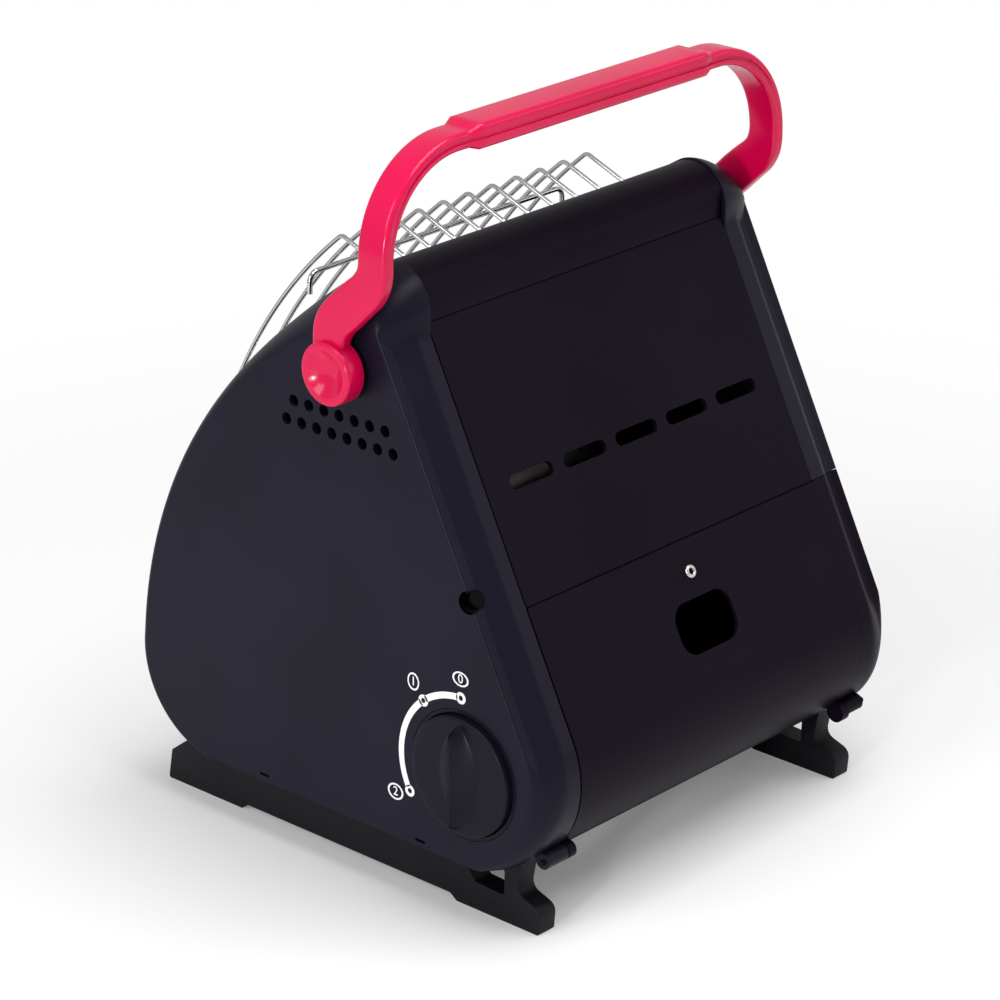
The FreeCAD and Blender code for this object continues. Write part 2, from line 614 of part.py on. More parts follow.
# Top cover: a ridge sheet whose tucked flange carries the top of the rear panel
cover = new_body("cover")
LIP_Y = "(brow_y - brow_lip)"
CREST_Y = "(ridge_y + cover_radius)"
PANEL_TOP_Z = f"(axis_height + (roll_radius - ({CREST_Y} - axis_y) * {LEAN_COS}) / {LEAN_SIN})"
extrude(draw_outline(new_sketch(cover, "YZ_Plane"), [
    (LIP_Y, circle_z(LIP_Y, "front_y", "front_z", COVER_FRONT), COVER_FRONT, -1),
    (*front_side("ridge_y", COVER_Z, "cover_radius", COVER_SPAN), "cover_radius", -1),
    (CREST_Y, COVER_Z), (CREST_Y, PANEL_TOP_Z),
    (f"{CREST_Y} - cover_thickness", f"{PANEL_TOP_Z}"),
    (f"{CREST_Y} - cover_thickness", COVER_Z, COVER_INNER, 1),
    (*front_side("ridge_y", COVER_Z, COVER_INNER, COVER_SPAN), COVER_FRONT_INNER, 1),
    (LIP_Y, circle_z(LIP_Y, "front_y", "front_z", COVER_FRONT_INNER)),
]), f"2 * {SHEET_HALF}", both=True)
FLANGE_UNDER = f"({PANEL_UNDER} - flange_thickness)"
extrude(draw_outline(new_sketch(cover, "YZ_Plane"), [
    lean_point("flange_overlap - panel_top", PANEL_UNDER),
    lean_point("-panel_top", PANEL_UNDER),
    (f"{CREST_Y} - cover_thickness / 2", f"{PANEL_TOP_Z} + 1"),
    (f"{CREST_Y} - cover_thickness / 2", f"{COVER_Z} + flange_thickness"),
    (f"{CREST_Y} - 2 * cover_thickness", f"{COVER_Z} + flange_thickness"),
    lean_point("-panel_top - cover_thickness", FLANGE_UNDER),
    lean_point("flange_overlap - panel_top", FLANGE_UNDER),
]), f"2 * {TUCKED_HALF}", both=True)
HOOK_X = "(-(wire_count - 1) / 2 * wire_pitch)"
hook_sketch = new_sketch(cover, "XY_Plane", f"{COVER_Z} + 2 * cover_radius")
hook_hole = extrude(draw_circle(hook_sketch, HOOK_X, "hook_y", "wire_radius + hook_play"),
                    "3 * cover_radius", cut=True)
repeat_along(hook_hole, hook_sketch, "wire_pitch", "wire_count")
piece(cover, "top_cover")

# Rear panel with its row of slots and the strip that the door closes on
panel = in_slope(new_body("panel"))
extrude(draw_outline(new_sketch(panel, "XY_Plane", PANEL_UNDER), rectangle(
    f"-{SHEET_HALF}", "-panel_top", SHEET_HALF, "-(door_top + seam_gap)")), "panel_thickness")
extrude(draw_outline(new_sketch(panel, "XY_Plane", FLANGE_UNDER), rectangle(
    f"-{TUCKED_HALF}", "-(door_top + flange_overlap)", TUCKED_HALF,
    "-(door_top - flange_overlap)")), "flange_thickness")
slot_sketch = new_sketch(panel, "XY_Plane", "roll_radius")
slot_cut = extrude(draw_outline(slot_sketch, rounded(
    "slot_length", "slot_height", "(slot_height / 2 - 0.1)",
    "(-(slot_count - 1) / 2 * slot_pitch)", "-slot_rise")), "panel_thickness", cut=True)
repeat_along(slot_cut, slot_sketch, "slot_pitch", "slot_count")
piece(panel, "back_panel")

# Base plate: one sheet bent up into the chin and round the roll
base = new_body("base")
CHIN_END = "(180 + sill_angle)"
ROLL_END = "(-hinge_dip - 0.5)"
ROLL_SHEET = "(roll_radius - base_thickness)"
extrude(draw_outline(new_sketch(base, "YZ_Plane"), [
    (*polar(CHIN_Y, "axis_height", "chin_radius", CHIN_END), "chin_radius", 1),
    (CHIN_Y, FLOOR), (ROLL_FLOOR_Y, FLOOR, "roll_radius", 1),
    polar("axis_y", "axis_height", "roll_radius", ROLL_END),
    (*polar("axis_y", "axis_height", ROLL_SHEET, ROLL_END), ROLL_SHEET, -1),
    (f"(axis_y + sqrt({ROLL_SHEET} ^ 2 - {CHIN_INNER} ^ 2))", FLOOR_TOP),
    (CHIN_Y, FLOOR_TOP, CHIN_INNER, -1),
    polar(CHIN_Y, "axis_height", CHIN_INNER, CHIN_END),
]), f"2 * {SHEET_HALF}", both=True)
base_barrel = cylinder("base_barrel", "barrel_radius", f"{SHEET_HALF} - barrel_inner",
                       f"-{SHEET_HALF}", HINGE_Y, HINGE_Z)
near_relief = cylinder("near_relief", "barrel_radius + barrel_relief",
                       f"{SHEET_HALF} - barrel_inner + 2 * barrel_relief",
                       "barrel_inner - barrel_relief", HINGE_Y, HINGE_Z)
piece(cut("base_plate", fuse("base_solid", [base, base_barrel]), [near_relief, pin_hole]),
      "base_plate")

# Door: a skin over the slope and the roll that also wraps the far end
skin = in_slope(new_body("skin"))
SKIN_INNER = "(roll_radius - door_skin)"
extrude(draw_outline(new_sketch(skin, "YZ_Plane", f"-({SEAM} + casing_wall)"), [
    ("-door_top", "roll_radius"), ("-door_top", SKIN_INNER), ("0", SKIN_INNER, SKIN_INNER, -1),
    (f"sqrt({SKIN_INNER} ^ 2 - {CAVITY} ^ 2)", CAVITY),
    (f"sqrt(roll_radius ^ 2 - {CAVITY} ^ 2)", CAVITY, "roll_radius", 1), ("0", "roll_radius"),
]), f"{SEAM} + casing_wall + {SHEET_HALF}")
extrude(draw_outline(new_sketch(skin, "XY_Plane", "roll_radius + 1"), rounded(
    "finger_width", "finger_height", "finger_corner", "finger_x", "-finger_rise")),
    "door_skin + 2", cut=True)
extrude(draw_circle(new_sketch(skin, "XY_Plane", "roll_radius + 1"), "finger_x", "-rivet_rise",
                    "rivet_shank"), "door_skin + 2", cut=True)
far_outer, far_inner = cap_lofts(-1)
far_end = common("far_end", [held_shape("far_shell", far_outer.cut(far_inner)),
                             door_zone("door_room", "0")])
door_barrel_near = cylinder("door_barrel_near", "barrel_radius", f"{SHEET_HALF} - barrel_inner",
                            "barrel_inner", HINGE_Y, HINGE_Z)
door_barrel_far = cylinder("door_barrel_far", "barrel_radius",
                           f"barrel_outer - {SEAM}", "-barrel_outer", HINGE_Y, HINGE_Z)
base_relief = cylinder("base_relief", "barrel_radius + barrel_relief",
                       f"{SEAM} - barrel_inner + barrel_relief",
                       f"-{SEAM}", HINGE_Y, HINGE_Z)
loose_hole = cylinder("loose_hole", "pin_radius + pin_play", "2 * half_width", "-half_width",
                      HINGE_Y, HINGE_Z)
piece(cut("door", fuse("door_solid", [skin, far_end, door_barrel_near, door_barrel_far]),
          [base_relief, loose_hole]), "door")

# Catch leaf under the door's top edge and the tubular rivet that holds it
catch = in_slope(new_body("catch"))
extrude(draw_outline(new_sketch(catch, "XY_Plane", f"{SKIN_INNER} - catch_thickness"), rectangle(
    "finger_x - catch_width / 2", "-rivet_rise - catch_length / 4",
    "finger_x + catch_width / 2", "-rivet_rise + catch_length * 3 / 4")), "catch_thickness")
extrude(draw_circle(new_sketch(catch, "XY_Plane", SKIN_INNER), "finger_x", "-rivet_rise",
                    "rivet_shank"), "catch_thickness", cut=True)
piece(catch, "door_catch")
rivet = in_slope(new_body("rivet"))
CATCH_UNDER = f"({SKIN_INNER} - catch_thickness)"
extrude(draw_circle(new_sketch(rivet, "XY_Plane", "roll_radius"), "finger_x", "-rivet_rise",
                    "rivet_radius"), "rivet_height")
extrude(draw_circle(new_sketch(rivet, "XY_Plane", "roll_radius"), "finger_x", "-rivet_rise",
                    "rivet_shank"), "door_skin + catch_thickness + rivet_height", reverse=True)
extrude(draw_circle(new_sketch(rivet, "XY_Plane", f"{CATCH_UNDER} - rivet_height"), "finger_x",
                    "-rivet_rise", "rivet_radius"), "rivet_height")
extrude(draw_circle(new_sketch(rivet, "XY_Plane", "roll_radius + rivet_height"), "finger_x",
                    "-rivet_rise", "rivet_bore"), "3 * rivet_height + door_skin", cut=True)
piece(rivet, "door_rivet")
PIN_LENGTH = "(barrel_outer - barrel_inner)"
piece(cylinder("pin_right", "pin_radius", PIN_LENGTH, "barrel_inner", HINGE_Y, HINGE_Z),
      "hinge_pin_right")
piece(cylinder("pin_left", "pin_radius", PIN_LENGTH, "-barrel_outer", HINGE_Y, HINGE_Z),
      "hinge_pin_left")


# Stands: moulded skids that cup the chin and the roll
def stand(name, x):
    body = new_body(name)
    draw = new_sketch(body, "YZ_Plane", x)
    seat = circle_z("front_seat_y", CHIN_Y, "axis_height", "chin_radius", "-")
    leg_top = circle_z("leg_top_y", "axis_y", "axis_height", "roll_radius", "-")
    draw_outline(draw, [
        ("toe_y", "0"), ("front_sole_end", "0"), ("front_sole_end + sole_bevel", "stand_arch"),
        ("rear_sole_start - sole_bevel", "stand_arch"), ("rear_sole_start", "0"), ("heel_y", "0"),
        ("heel_bulge_y", "heel_bulge_z"), ("leg_y", "leg_height"),
        ("leg_top_y", leg_top, "roll_radius", -1), (ROLL_FLOOR_Y, FLOOR),
        (CHIN_Y, FLOOR, "chin_radius", -1), ("front_seat_y", seat),
        ("throat_y", "throat_height"), ("instep_y", "instep_height"),
        ("toe_top_y", "toe_height"),
    ])
    extrude(draw, "stand_thickness")
    window = new_sketch(body, "YZ_Plane", f"{x} + stand_thickness")
    draw_outline(window, [
        ("window_front", "window_peak"), ("window_front + sole_bevel", "window_low"),
        ("window_rear", "window_low"), ("window_rear", "window_high"),
    ])
    extrude(window, "stand_thickness", cut=True)
    return body


piece(stand("right_stand", "stand_outer - stand_thickness"), "stand_right")
piece(stand("left_stand", "-stand_outer"), "stand_left")

# Front frame, reflector and burner, in the plane of the front opening
mouth_middle = "(-mouth_top - mouth_height / 2)"
front_frame = in_mouth(new_body("front_frame"))
extrude(draw_outline(new_sketch(front_frame, "XY_Plane"), rectangle(
    f"-{FRAME_INNER}", f"-{MOUTH_LENGTH}", FRAME_INNER, "0")), "sheet_thickness", reverse=True)
extrude(draw_outline(new_sketch(front_frame, "XY_Plane"), rounded(
    "mouth_width", "mouth_height", "mouth_corner", y=mouth_middle)), "sheet_thickness", cut=True)
piece(front_frame, "front_frame")

reflector = in_mouth(new_body("reflector"))
FLANGE_BACK = "-(sheet_thickness + bowl_wall)"
extrude(draw_outline(new_sketch(reflector, "XY_Plane", "-sheet_thickness"), rounded(
    "(mouth_width + 2 * bowl_flange)", "(mouth_height + 2 * bowl_flange)",
    "(mouth_corner + bowl_flange)", y=mouth_middle)), "bowl_wall", reverse=True)


def bowl(shrink, front, back, cutting):
    """The bowl's taper from the front opening to the burner plate, drawn in by its wall."""
    wide = draw_outline(new_sketch(reflector, "XY_Plane", front), rounded(
        f"(mouth_width - 2 * {shrink})", f"(mouth_height - 2 * {shrink})", "mouth_corner",
        y=mouth_middle))
    narrow = draw_outline(new_sketch(reflector, "XY_Plane", back), rounded(
        f"(bowl_width - 2 * {shrink})", f"(bowl_height - 2 * {shrink})", "bowl_corner",
        y="-burner_drop"))
    return loft(wide, narrow, cutting)


bowl("0", "-sheet_thickness", "-bowl_depth", False)
bowl("bowl_wall", "-sheet_thickness", "-(bowl_depth - bowl_wall)", True)
BURNER_HOLE = ("(burner_width + 2 * burner_fit)", "(burner_height + 2 * burner_fit)")
extrude(draw_outline(new_sketch(reflector, "XY_Plane"), rounded(
    *BURNER_HOLE, "burner_wall", y="-burner_drop")), "bowl_depth + 1", cut=True)
piece(reflector, "reflector")

burner = in_mouth(new_body("burner"))
extrude(draw_outline(new_sketch(burner, "XY_Plane", "-burner_front"), rounded(
    "burner_width", "burner_height", "burner_wall", y="-burner_drop")),
    "burner_back - burner_front", reverse=True)
extrude(draw_outline(new_sketch(burner, "XY_Plane", "-bowl_depth"), rounded(
    "(burner_width + 2 * burner_flange)", "(burner_height + 2 * burner_flange)",
    "burner_flange", y="-burner_drop")), "burner_wall", reverse=True)
PLAQUE_DEPTH = "(plaque_thickness + plaque_sink)"
extrude(draw_outline(new_sketch(burner, "XY_Plane", "-burner_front"), rounded(
    "(burner_width - 2 * burner_wall)", "(burner_height - 2 * burner_wall)", "burner_wall",
    y="-burner_drop")), PLAQUE_DEPTH, cut=True)
extrude(draw_outline(new_sketch(burner, "XY_Plane", "-burner_front"), rounded(
    "(burner_width - 2 * burner_ledge)", "(burner_height - 2 * burner_ledge)", "burner_wall",
    y="-burner_drop")), "burner_back - burner_front - burner_wall", cut=True)
extrude(draw_circle(new_sketch(burner, "XY_Plane", "-burner_front"), "0", "-burner_drop",
                    "tube_radius - tube_wall"), "burner_back - burner_front", cut=True)
piece(burner, "burner_box")

plaque = in_mouth(new_body("plaque"))
extrude(draw_outline(new_sketch(plaque, "XY_Plane", "-(burner_front + plaque_sink)"), rounded(
    "(burner_width - 2 * (burner_wall + plaque_gap))",
    "(burner_height - 2 * (burner_wall + plaque_gap))", "burner_wall", y="-burner_drop")),
    "plaque_thickness", reverse=True)
piece(plaque, "ceramic_plaque")

screen = in_mouth(new_body("screen"))
extrude(draw_outline(new_sketch(screen, "XY_Plane", "-burner_front"), rounded(
    "burner_width", "burner_height", "burner_wall", y="-burner_drop")), "screen_thickness")
screen_sketch = new_sketch(screen, "XY_Plane", "-burner_front + screen_thickness")
screen_cut = extrude(draw_outline(screen_sketch, rounded(
    "screen_slot", "(burner_height - 2 * burner_ledge)", "burner_wall",
    "(-(screen_slots - 1) / 2 * screen_pitch)", "-burner_drop")), "screen_thickness", cut=True)
repeat_along(screen_cut, screen_sketch, "screen_pitch", "screen_slots")
piece(screen, "burner_screen")


def probe(name, x):
    """A ceramic stick on the burner plate with a thin tip."""
    body = in_mouth(new_body(name))
    seat = "-(bowl_depth - bowl_wall)"
    y = "-(burner_drop + probe_drop)"
    extrude(draw_circle(new_sketch(body, "XY_Plane", seat), x, y, "probe_radius"), "probe_length")
    extrude(draw_circle(new_sketch(body, "XY_Plane", f"{seat} + probe_length"), x, y,
                        "tip_radius"), "tip_length")
    return body


piece(probe("electrode", "probe_x"), "spark_electrode")
piece(probe("couple", "-probe_x"), "thermocouple")

# Guard: bowed wires hooked into the cover and footed on the front frame, on three cross rods
guard = new_body("guard")
high_route = draw_route(new_sketch(guard, "XZ_Plane", "-high_rod_y"), [
    ("-rod_half_length", "high_rod_z - rod_drop"), ("-rod_half_length", "high_rod_z", "rod_bend"),
    ("rod_half_length", "high_rod_z", "rod_bend"), ("rod_half_length", "high_rod_z - rod_drop"),
])
rod_profile = draw_circle(new_sketch(guard, "XY_Plane", "high_rod_z - rod_drop"),
                          "-rod_half_length", "high_rod_y", "rod_radius")
pipe(rod_profile, high_route)
wire_route = draw_route(new_sketch(guard, "YZ_Plane", HOOK_X), [
    ("hook_y", "hook_z"), ("hook_y", "hook_bend_z", "hook_bend"),
    ("crown_y", "crown_z", "crown_bend"), ("high_y", "high_z", "high_bend"),
    ("low_y", "low_z", "low_bend"), ("foot_y", "foot_z", "foot_bend"),
    (f"(brow_y - foot_end * {MOUTH_SIN})", f"({BROW_Z} - foot_end * {MOUTH_COS})"),
])
wire_sketch = new_sketch(guard, "XY_Plane", "hook_z")
draw_circle(wire_sketch, HOOK_X, "hook_y", "wire_radius")
wire = pipe(wire_sketch, wire_route)
repeat_along(wire, wire_sketch, "wire_pitch", "wire_count")
for rod_y, rod_z in (("middle_rod_y", "middle_rod_z"), ("low_rod_y", "low_rod_z")):
    extrude(draw_circle(new_sketch(guard, "YZ_Plane"), rod_y, rod_z, "rod_radius"),
            "2 * rod_half_length", both=True)
piece(guard, "guard")

# Cartridge cradle and heat shield
cradle = new_body("cradle")
TROUGH = "(cartridge_radius + cradle_gap)"
TROUGH_OUTER = f"({TROUGH} + cradle_thickness)"
CRADLE_HALF = f"sqrt({TROUGH_OUTER} ^ 2 - cradle_lip ^ 2)"
extrude(draw_outline(new_sketch(cradle, "YZ_Plane", "cradle_start"), [
    (f"axis_y - {CRADLE_HALF}", "axis_height - cradle_lip", TROUGH_OUTER, 1),
    (f"axis_y + {CRADLE_HALF}", "axis_height - cradle_lip"),
]), "cradle_length")
for rib_x in ("cradle_start + rib_inset", "cradle_start + cradle_length - rib_inset"):
    extrude(draw_outline(new_sketch(cradle, "YZ_Plane", rib_x), rectangle(
        "axis_y - cradle_foot", FLOOR_TOP, "axis_y + rib_heel",
        "axis_height - rib_drop")), "rib_thickness")
extrude(draw_circle(new_sketch(cradle, "YZ_Plane", "cradle_start + cradle_length"), "axis_y",
                    "axis_height", TROUGH), "cradle_length", cut=True)
piece(cradle, "cartridge_cradle")

shield = new_body("shield")
extrude(draw_outline(new_sketch(shield, "YZ_Plane", "shield_start"), [
    ("shield_y - shield_foot", FLOOR_TOP), ("shield_y + shield_thickness", FLOOR_TOP),
    ("shield_y + shield_thickness", "shield_top"), ("shield_y", "shield_top"),
    ("shield_y", f"{FLOOR_TOP} + shield_thickness"),
    ("shield_y - shield_foot", f"{FLOOR_TOP} + shield_thickness"),
]), "shield_length")
piece(shield, "heat_shield")

# Regulator, its bonnet through the side frame, and the gas path to the burner
valve = [
    cylinder("valve_socket", "socket_radius", "socket_depth", "socket_x", "axis_y", "axis_height"),
    cylinder("valve_body", "valve_radius", f"{FRAME_INNER} - socket_x - socket_depth",
             "socket_x + socket_depth", "axis_y", "axis_height"),
    cylinder("valve_bonnet", "bonnet_radius", "frame_thickness + bonnet_length", FRAME_INNER,
             "axis_y", "axis_height"),
]
socket_hole = cylinder("socket_hole", "socket_bore", "socket_depth", "socket_x", "axis_y",
                       "axis_height")
spindle_hole = cylinder("spindle_hole", "spindle_radius + spindle_play", "cap_depth",
                        "spindle_start - push_travel - 1", "axis_y", "axis_height")
piece(cut("regulator", fuse("valve", valve), [socket_hole, spindle_hole]), "regulator")

gas_pipe = place(new_body("gas_pipe"), x="pipe_x")
PIPE_START = "(axis_y - valve_radius)"
pipe(draw_circle(new_sketch(gas_pipe, "XZ_Plane", f"-{PIPE_START}"), "0", "axis_height",
                 "pipe_radius"),
     draw_route(new_sketch(gas_pipe, "YZ_Plane"), [
         (PIPE_START, "axis_height"), (TUBE_Y, "axis_height", "pipe_bend"),
         (TUBE_Y, f"{TUBE_Z} - jet_radius"),
     ]))
piece(gas_pipe, "gas_pipe")
JET_START = f"({FRAME_INNER} - jet_length)"
jet_body = cylinder("jet_body", "jet_radius", "jet_length", JET_START, TUBE_Y, TUBE_Z)
jet_tip = cylinder("jet_nose", "jet_tip_radius", "jet_tip", f"{JET_START} - jet_tip", TUBE_Y, TUBE_Z)
piece(fuse("jet", [jet_body, jet_tip]), "gas_jet")

mixer = place(new_body("mixer"), y=TUBE_Y, z=TUBE_Z, angle="90 - mouth_lean")
mixer_profile = new_sketch(mixer, "YZ_Plane", "tube_start")
draw_circle(mixer_profile, "0", "0", "tube_radius")
draw_circle(mixer_profile, "0", "0", "(tube_radius - tube_wall)")
pipe(mixer_profile, draw_route(new_sketch(mixer, "XZ_Plane"), [
    ("tube_start", "0"), ("0", "0", "tube_bend"), ("0", "tube_depth - burner_back")]))
piece(mixer, "mixing_tube")
piece(cylinder("igniter", "igniter_radius", "igniter_length", f"{FRAME_INNER} - igniter_length",
               "igniter_y", "igniter_z"), "igniter")

# Control: the cup in the cap's hole, and the knob that pushes and turns
CUP_OUTER = "(hole_radius - cup_fit)"
CUP_BORE = "(bonnet_radius + cup_bore_gap)"
cup_wall = cylinder("cup_outside", CUP_OUTER, "cap_depth", SEAM, "axis_y", "axis_height")
cup_rim = cylinder("cup_collar", f"{CUP_OUTER} + cup_rim", "cup_wall",
                   "half_width - casing_wall - cup_wall", "axis_y", "axis_height")
cup_hollow = cylinder("cup_hollow", f"{CUP_OUTER} - cup_wall", "cap_depth", f"{SEAM} + cup_wall",
                      "axis_y", "axis_height")
cup_bore = cylinder("cup_bore", CUP_BORE, "cap_depth", SEAM, "axis_y", "axis_height")
piece(cut("cup", fuse("cup_solid", [cup_wall, cup_rim]), [cup_hollow, cup_bore]), "knob_cup")

knob = place(new_body("knob"), y="axis_y", z="axis_height")
extrude(draw_circle(new_sketch(knob, "YZ_Plane", "knob_start"), "0", "0", "knob_radius"),
        "knob_face - knob_start")
extrude(draw_circle(new_sketch(knob, "YZ_Plane", "hub_start"), "0", "0", "hub_radius"),
        "knob_start - hub_start")


def lens(length, width):
    """Outline of two equal arcs that meet at points above and below the axis."""
    radius = f"((({length}) ^ 2 + ({width}) ^ 2) / (4 * ({width})))"
    return [("0", f"-{length} / 2", radius, 1), ("0", f"{length} / 2", radius, 1)]


loft(draw_outline(new_sketch(knob, "YZ_Plane", "knob_face"), lens("grip_length", "grip_width")),
     draw_outline(new_sketch(knob, "YZ_Plane", "knob_face + grip_rise"),
                  lens("crest_length", "crest_width")))
extrude(draw_circle(new_sketch(knob, "YZ_Plane", "hub_start"), "0", "0", "spindle_radius"),
        "socket_reach", cut=True, reverse=True)
piece(knob, "knob")
piece(cylinder("spindle", "spindle_radius", "hub_start + socket_reach - spindle_start",
               "spindle_start", "axis_y", "axis_height"), "knob_spindle")
collar_disc = cylinder("collar_disc", "collar_radius", "collar_length", "hub_start - collar_length",
                       "axis_y", "axis_height")
collar_hole = cylinder("collar_hole", "spindle_radius + collar_play", "cap_depth",
                       "hub_start - cap_depth / 2", "axis_y", "axis_height")
piece(cut("collar", collar_disc, [collar_hole]), "knob_collar")
BONNET_END = f"({SEAM} + bonnet_length)"
SPRING_LENGTH = f"(hub_start - collar_length - {BONNET_END})"
coil = document.addObject("Part::Helix", "coil")
coil.setExpression("Radius", bound("spring_radius - spring_wire"))
coil.setExpression("Pitch", bound(f"({SPRING_LENGTH} - 2 * spring_wire) / spring_turns"))
coil.setExpression("Height", bound(f"{SPRING_LENGTH} - 2 * spring_wire"))
coil_wire = document.addObject("Part::Circle", "coil_wire")
coil_wire.setExpression("Radius", bound("spring_wire"))
coil_wire.Placement = FreeCAD.Placement(vector(0, 0), FreeCAD.Rotation(X_AXIS, 90))
coil_wire.setExpression("Placement.Base.x", bound("spring_radius - spring_wire"))
spring = document.addObject("Part::Sweep", "spring")
spring.Sections = [coil_wire]
spring.Spine = (coil, [])
spring.Solid = True
spring.Frenet = True
spring.Placement = FreeCAD.Placement(vector(0, 0), FreeCAD.Rotation(vector(0, 1, 0), 90))
spring.setExpression("Placement.Base.x", bound(f"{BONNET_END} + spring_wire"))
spring.setExpression("Placement.Base.y", bound("axis_y"))
spring.setExpression("Placement.Base.z", bound("axis_height"))
piece(spring, "knob_spring")

# Handle: the bail, its two cranked arms with round bosses, and the thicker grip
bail = new_body("bail")
FRONT_Y = "(arm_y - arm_width / 2)"
REAR_Y = "(arm_y + arm_width / 2)"
BAIL_INNER = "(bail_radius - bail_thickness)"
extrude(draw_outline(new_sketch(bail, "XZ_Plane", "-arm_y"), [
    ("arm_outer", "splice_z"), ("arm_outer", "bail_top - bail_radius", "bail_radius", 1),
    ("arm_outer - bail_radius", "bail_top"),
    ("-arm_outer + bail_radius", "bail_top", "bail_radius", 1),
    ("-arm_outer", "bail_top - bail_radius"), ("-arm_outer", "splice_z"),
    (f"-{ARM_INNER}", "splice_z"),
    (f"-{ARM_INNER}", "bail_top - bail_radius", f"{BAIL_INNER}", -1),
    (f"-{ARM_INNER} + {BAIL_INNER}", "bail_top - bail_thickness"),
    (f"{ARM_INNER} - {BAIL_INNER}", "bail_top - bail_thickness", f"{BAIL_INNER}", -1),
    (ARM_INNER, "bail_top - bail_radius"), (ARM_INNER, "splice_z"),
]), "arm_width", both=True)
ARM = [
    ("pivot_y - root_front", "pivot_z + root_rise", "neck_radius", -1),
    ("pivot_y - throat_front", "pivot_z + throat_rise"), (FRONT_Y, "knee_front_z"),
    (FRONT_Y, "splice_z"), (REAR_Y, "splice_z"), (REAR_Y, "knee_rear_z", "knee_radius", -1),
    ("pivot_y + elbow_rear", "pivot_z + elbow_rise"),
    ("pivot_y + root_rear", "pivot_z + root_rear_rise"),
    ("pivot_y", "pivot_z"),
]
for arm_x, boss_x in ((ARM_INNER, ARM_INNER), ("-arm_outer", "-boss_face")):
    extrude(draw_outline(new_sketch(bail, "YZ_Plane", arm_x), ARM), "arm_thickness")
    extrude(draw_circle(new_sketch(bail, "YZ_Plane", boss_x), "pivot_y", "pivot_z",
                        "boss_radius"), f"boss_face - {ARM_INNER}")
GRIP_HALF_WIDTH = "(arm_width / 2 + grip_side)"
grip_outline = [
    ("-grip_half_length", f"-{GRIP_HALF_WIDTH}"), ("grip_half_length", f"-{GRIP_HALF_WIDTH}"),
    ("grip_half_length + grip_slope", "-arm_width / 2"),
    ("grip_half_length + grip_slope", "arm_width / 2"),
    ("grip_half_length", GRIP_HALF_WIDTH), ("-grip_half_length", GRIP_HALF_WIDTH),
    ("-grip_half_length - grip_slope", "arm_width / 2"),
    ("-grip_half_length - grip_slope", "-arm_width / 2"),
]
extrude(draw_outline(new_sketch(bail, "XY_Plane", "bail_top - bail_thickness - grip_under"),
                     [(x, f"arm_y + {y}") for x, y in grip_outline]),
        "bail_thickness + grip_under + grip_over")
for dish_x, turned in (("boss_face", False), ("-boss_face", True)):
    extrude(draw_circle(new_sketch(bail, "YZ_Plane", dish_x), "pivot_y", "pivot_z",
                        "dish_radius"), "dish_depth", cut=True, reverse=turned)
STUD_BORE = "(stud_radius + stud_play)"
for bore_x, turned in ((ARM_INNER, True), (f"-{ARM_INNER}", False)):
    extrude(draw_circle(new_sketch(bail, "YZ_Plane", bore_x), "pivot_y", "pivot_z",
                        STUD_BORE), "stud_reach + stud_play", cut=True, reverse=turned)
piece(bail, "handle")


def stud(name, side):
    """A stepped stud: a head inside the cap, a collar between cap and arm, a pin in the arm."""
    inner_face = "half_width - casing_wall"
    steps = [
        ("stud_head", "stud_head_length", f"{inner_face} - stud_head_length"),
        ("stud_radius", f"{ARM_INNER} + stud_reach - ({inner_face})", inner_face),
        ("washer_radius", f"{ARM_INNER} - washer_play - half_width", "half_width"),
    ]
    parts = []
    for index, (radius, length, start) in enumerate(steps):
        x = start if side > 0 else f"-({start}) - ({length})"
        parts.append(cylinder(f"{name}_{index}", radius, length, x, "pivot_y", "pivot_z"))
    return fuse(name, parts)


piece(stud("stud_right", 1), "handle_stud_right")
piece(stud("stud_left", -1), "handle_stud_left")


def screw(name, side):
    """A cap screw whose head lies at the bottom of the recess."""
    steps = [("screw_head", "screw_head_height", SCREW_SEAT),
             ("screw_radius", f"{SCREW_SEAT} - {SEAM}", SEAM)]
    parts = []
    for index, (radius, length, start) in enumerate(steps):
        x = start if side > 0 else f"-({start}) - ({length})"
        parts.append(cylinder(f"{name}_{index}", radius, length, x, "edge_screw_y", "edge_screw_z"))
    return fuse(name, parts)


piece(screw("screw_right", 1), "cap_screw_right")
piece(screw("screw_left", -1), "cap_screw_left")

document.recompute()
for item in document.Objects:
    if "Invalid" in item.State or "Error" in item.State:
        raise RuntimeError(f"{item.Label} failed: {item.State}")
for item in PIECES:
    if item.Shape.isNull() or not item.Shape.isValid():
        raise RuntimeError(f"{item.Label} has no valid shape")
os.makedirs("parts", exist_ok=True)
for item in PIECES:
    item.Shape.exportStep(f"parts/{item.Label}.step")
print(f"{len(PIECES)} pieces")
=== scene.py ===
"""Studio picture of a portable gas heater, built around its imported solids.

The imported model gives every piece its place. This script puts smooth shells over the pieces whose
form the picture shows closely, and gives each surface a finish made of nodes. Sizes are in
millimetres in the solids' own frame and are turned into metres when a mesh is made.
"""
import logging
import math
from dataclasses import dataclass, field
from enum import Enum
from typing import Any, Iterable, Sequence

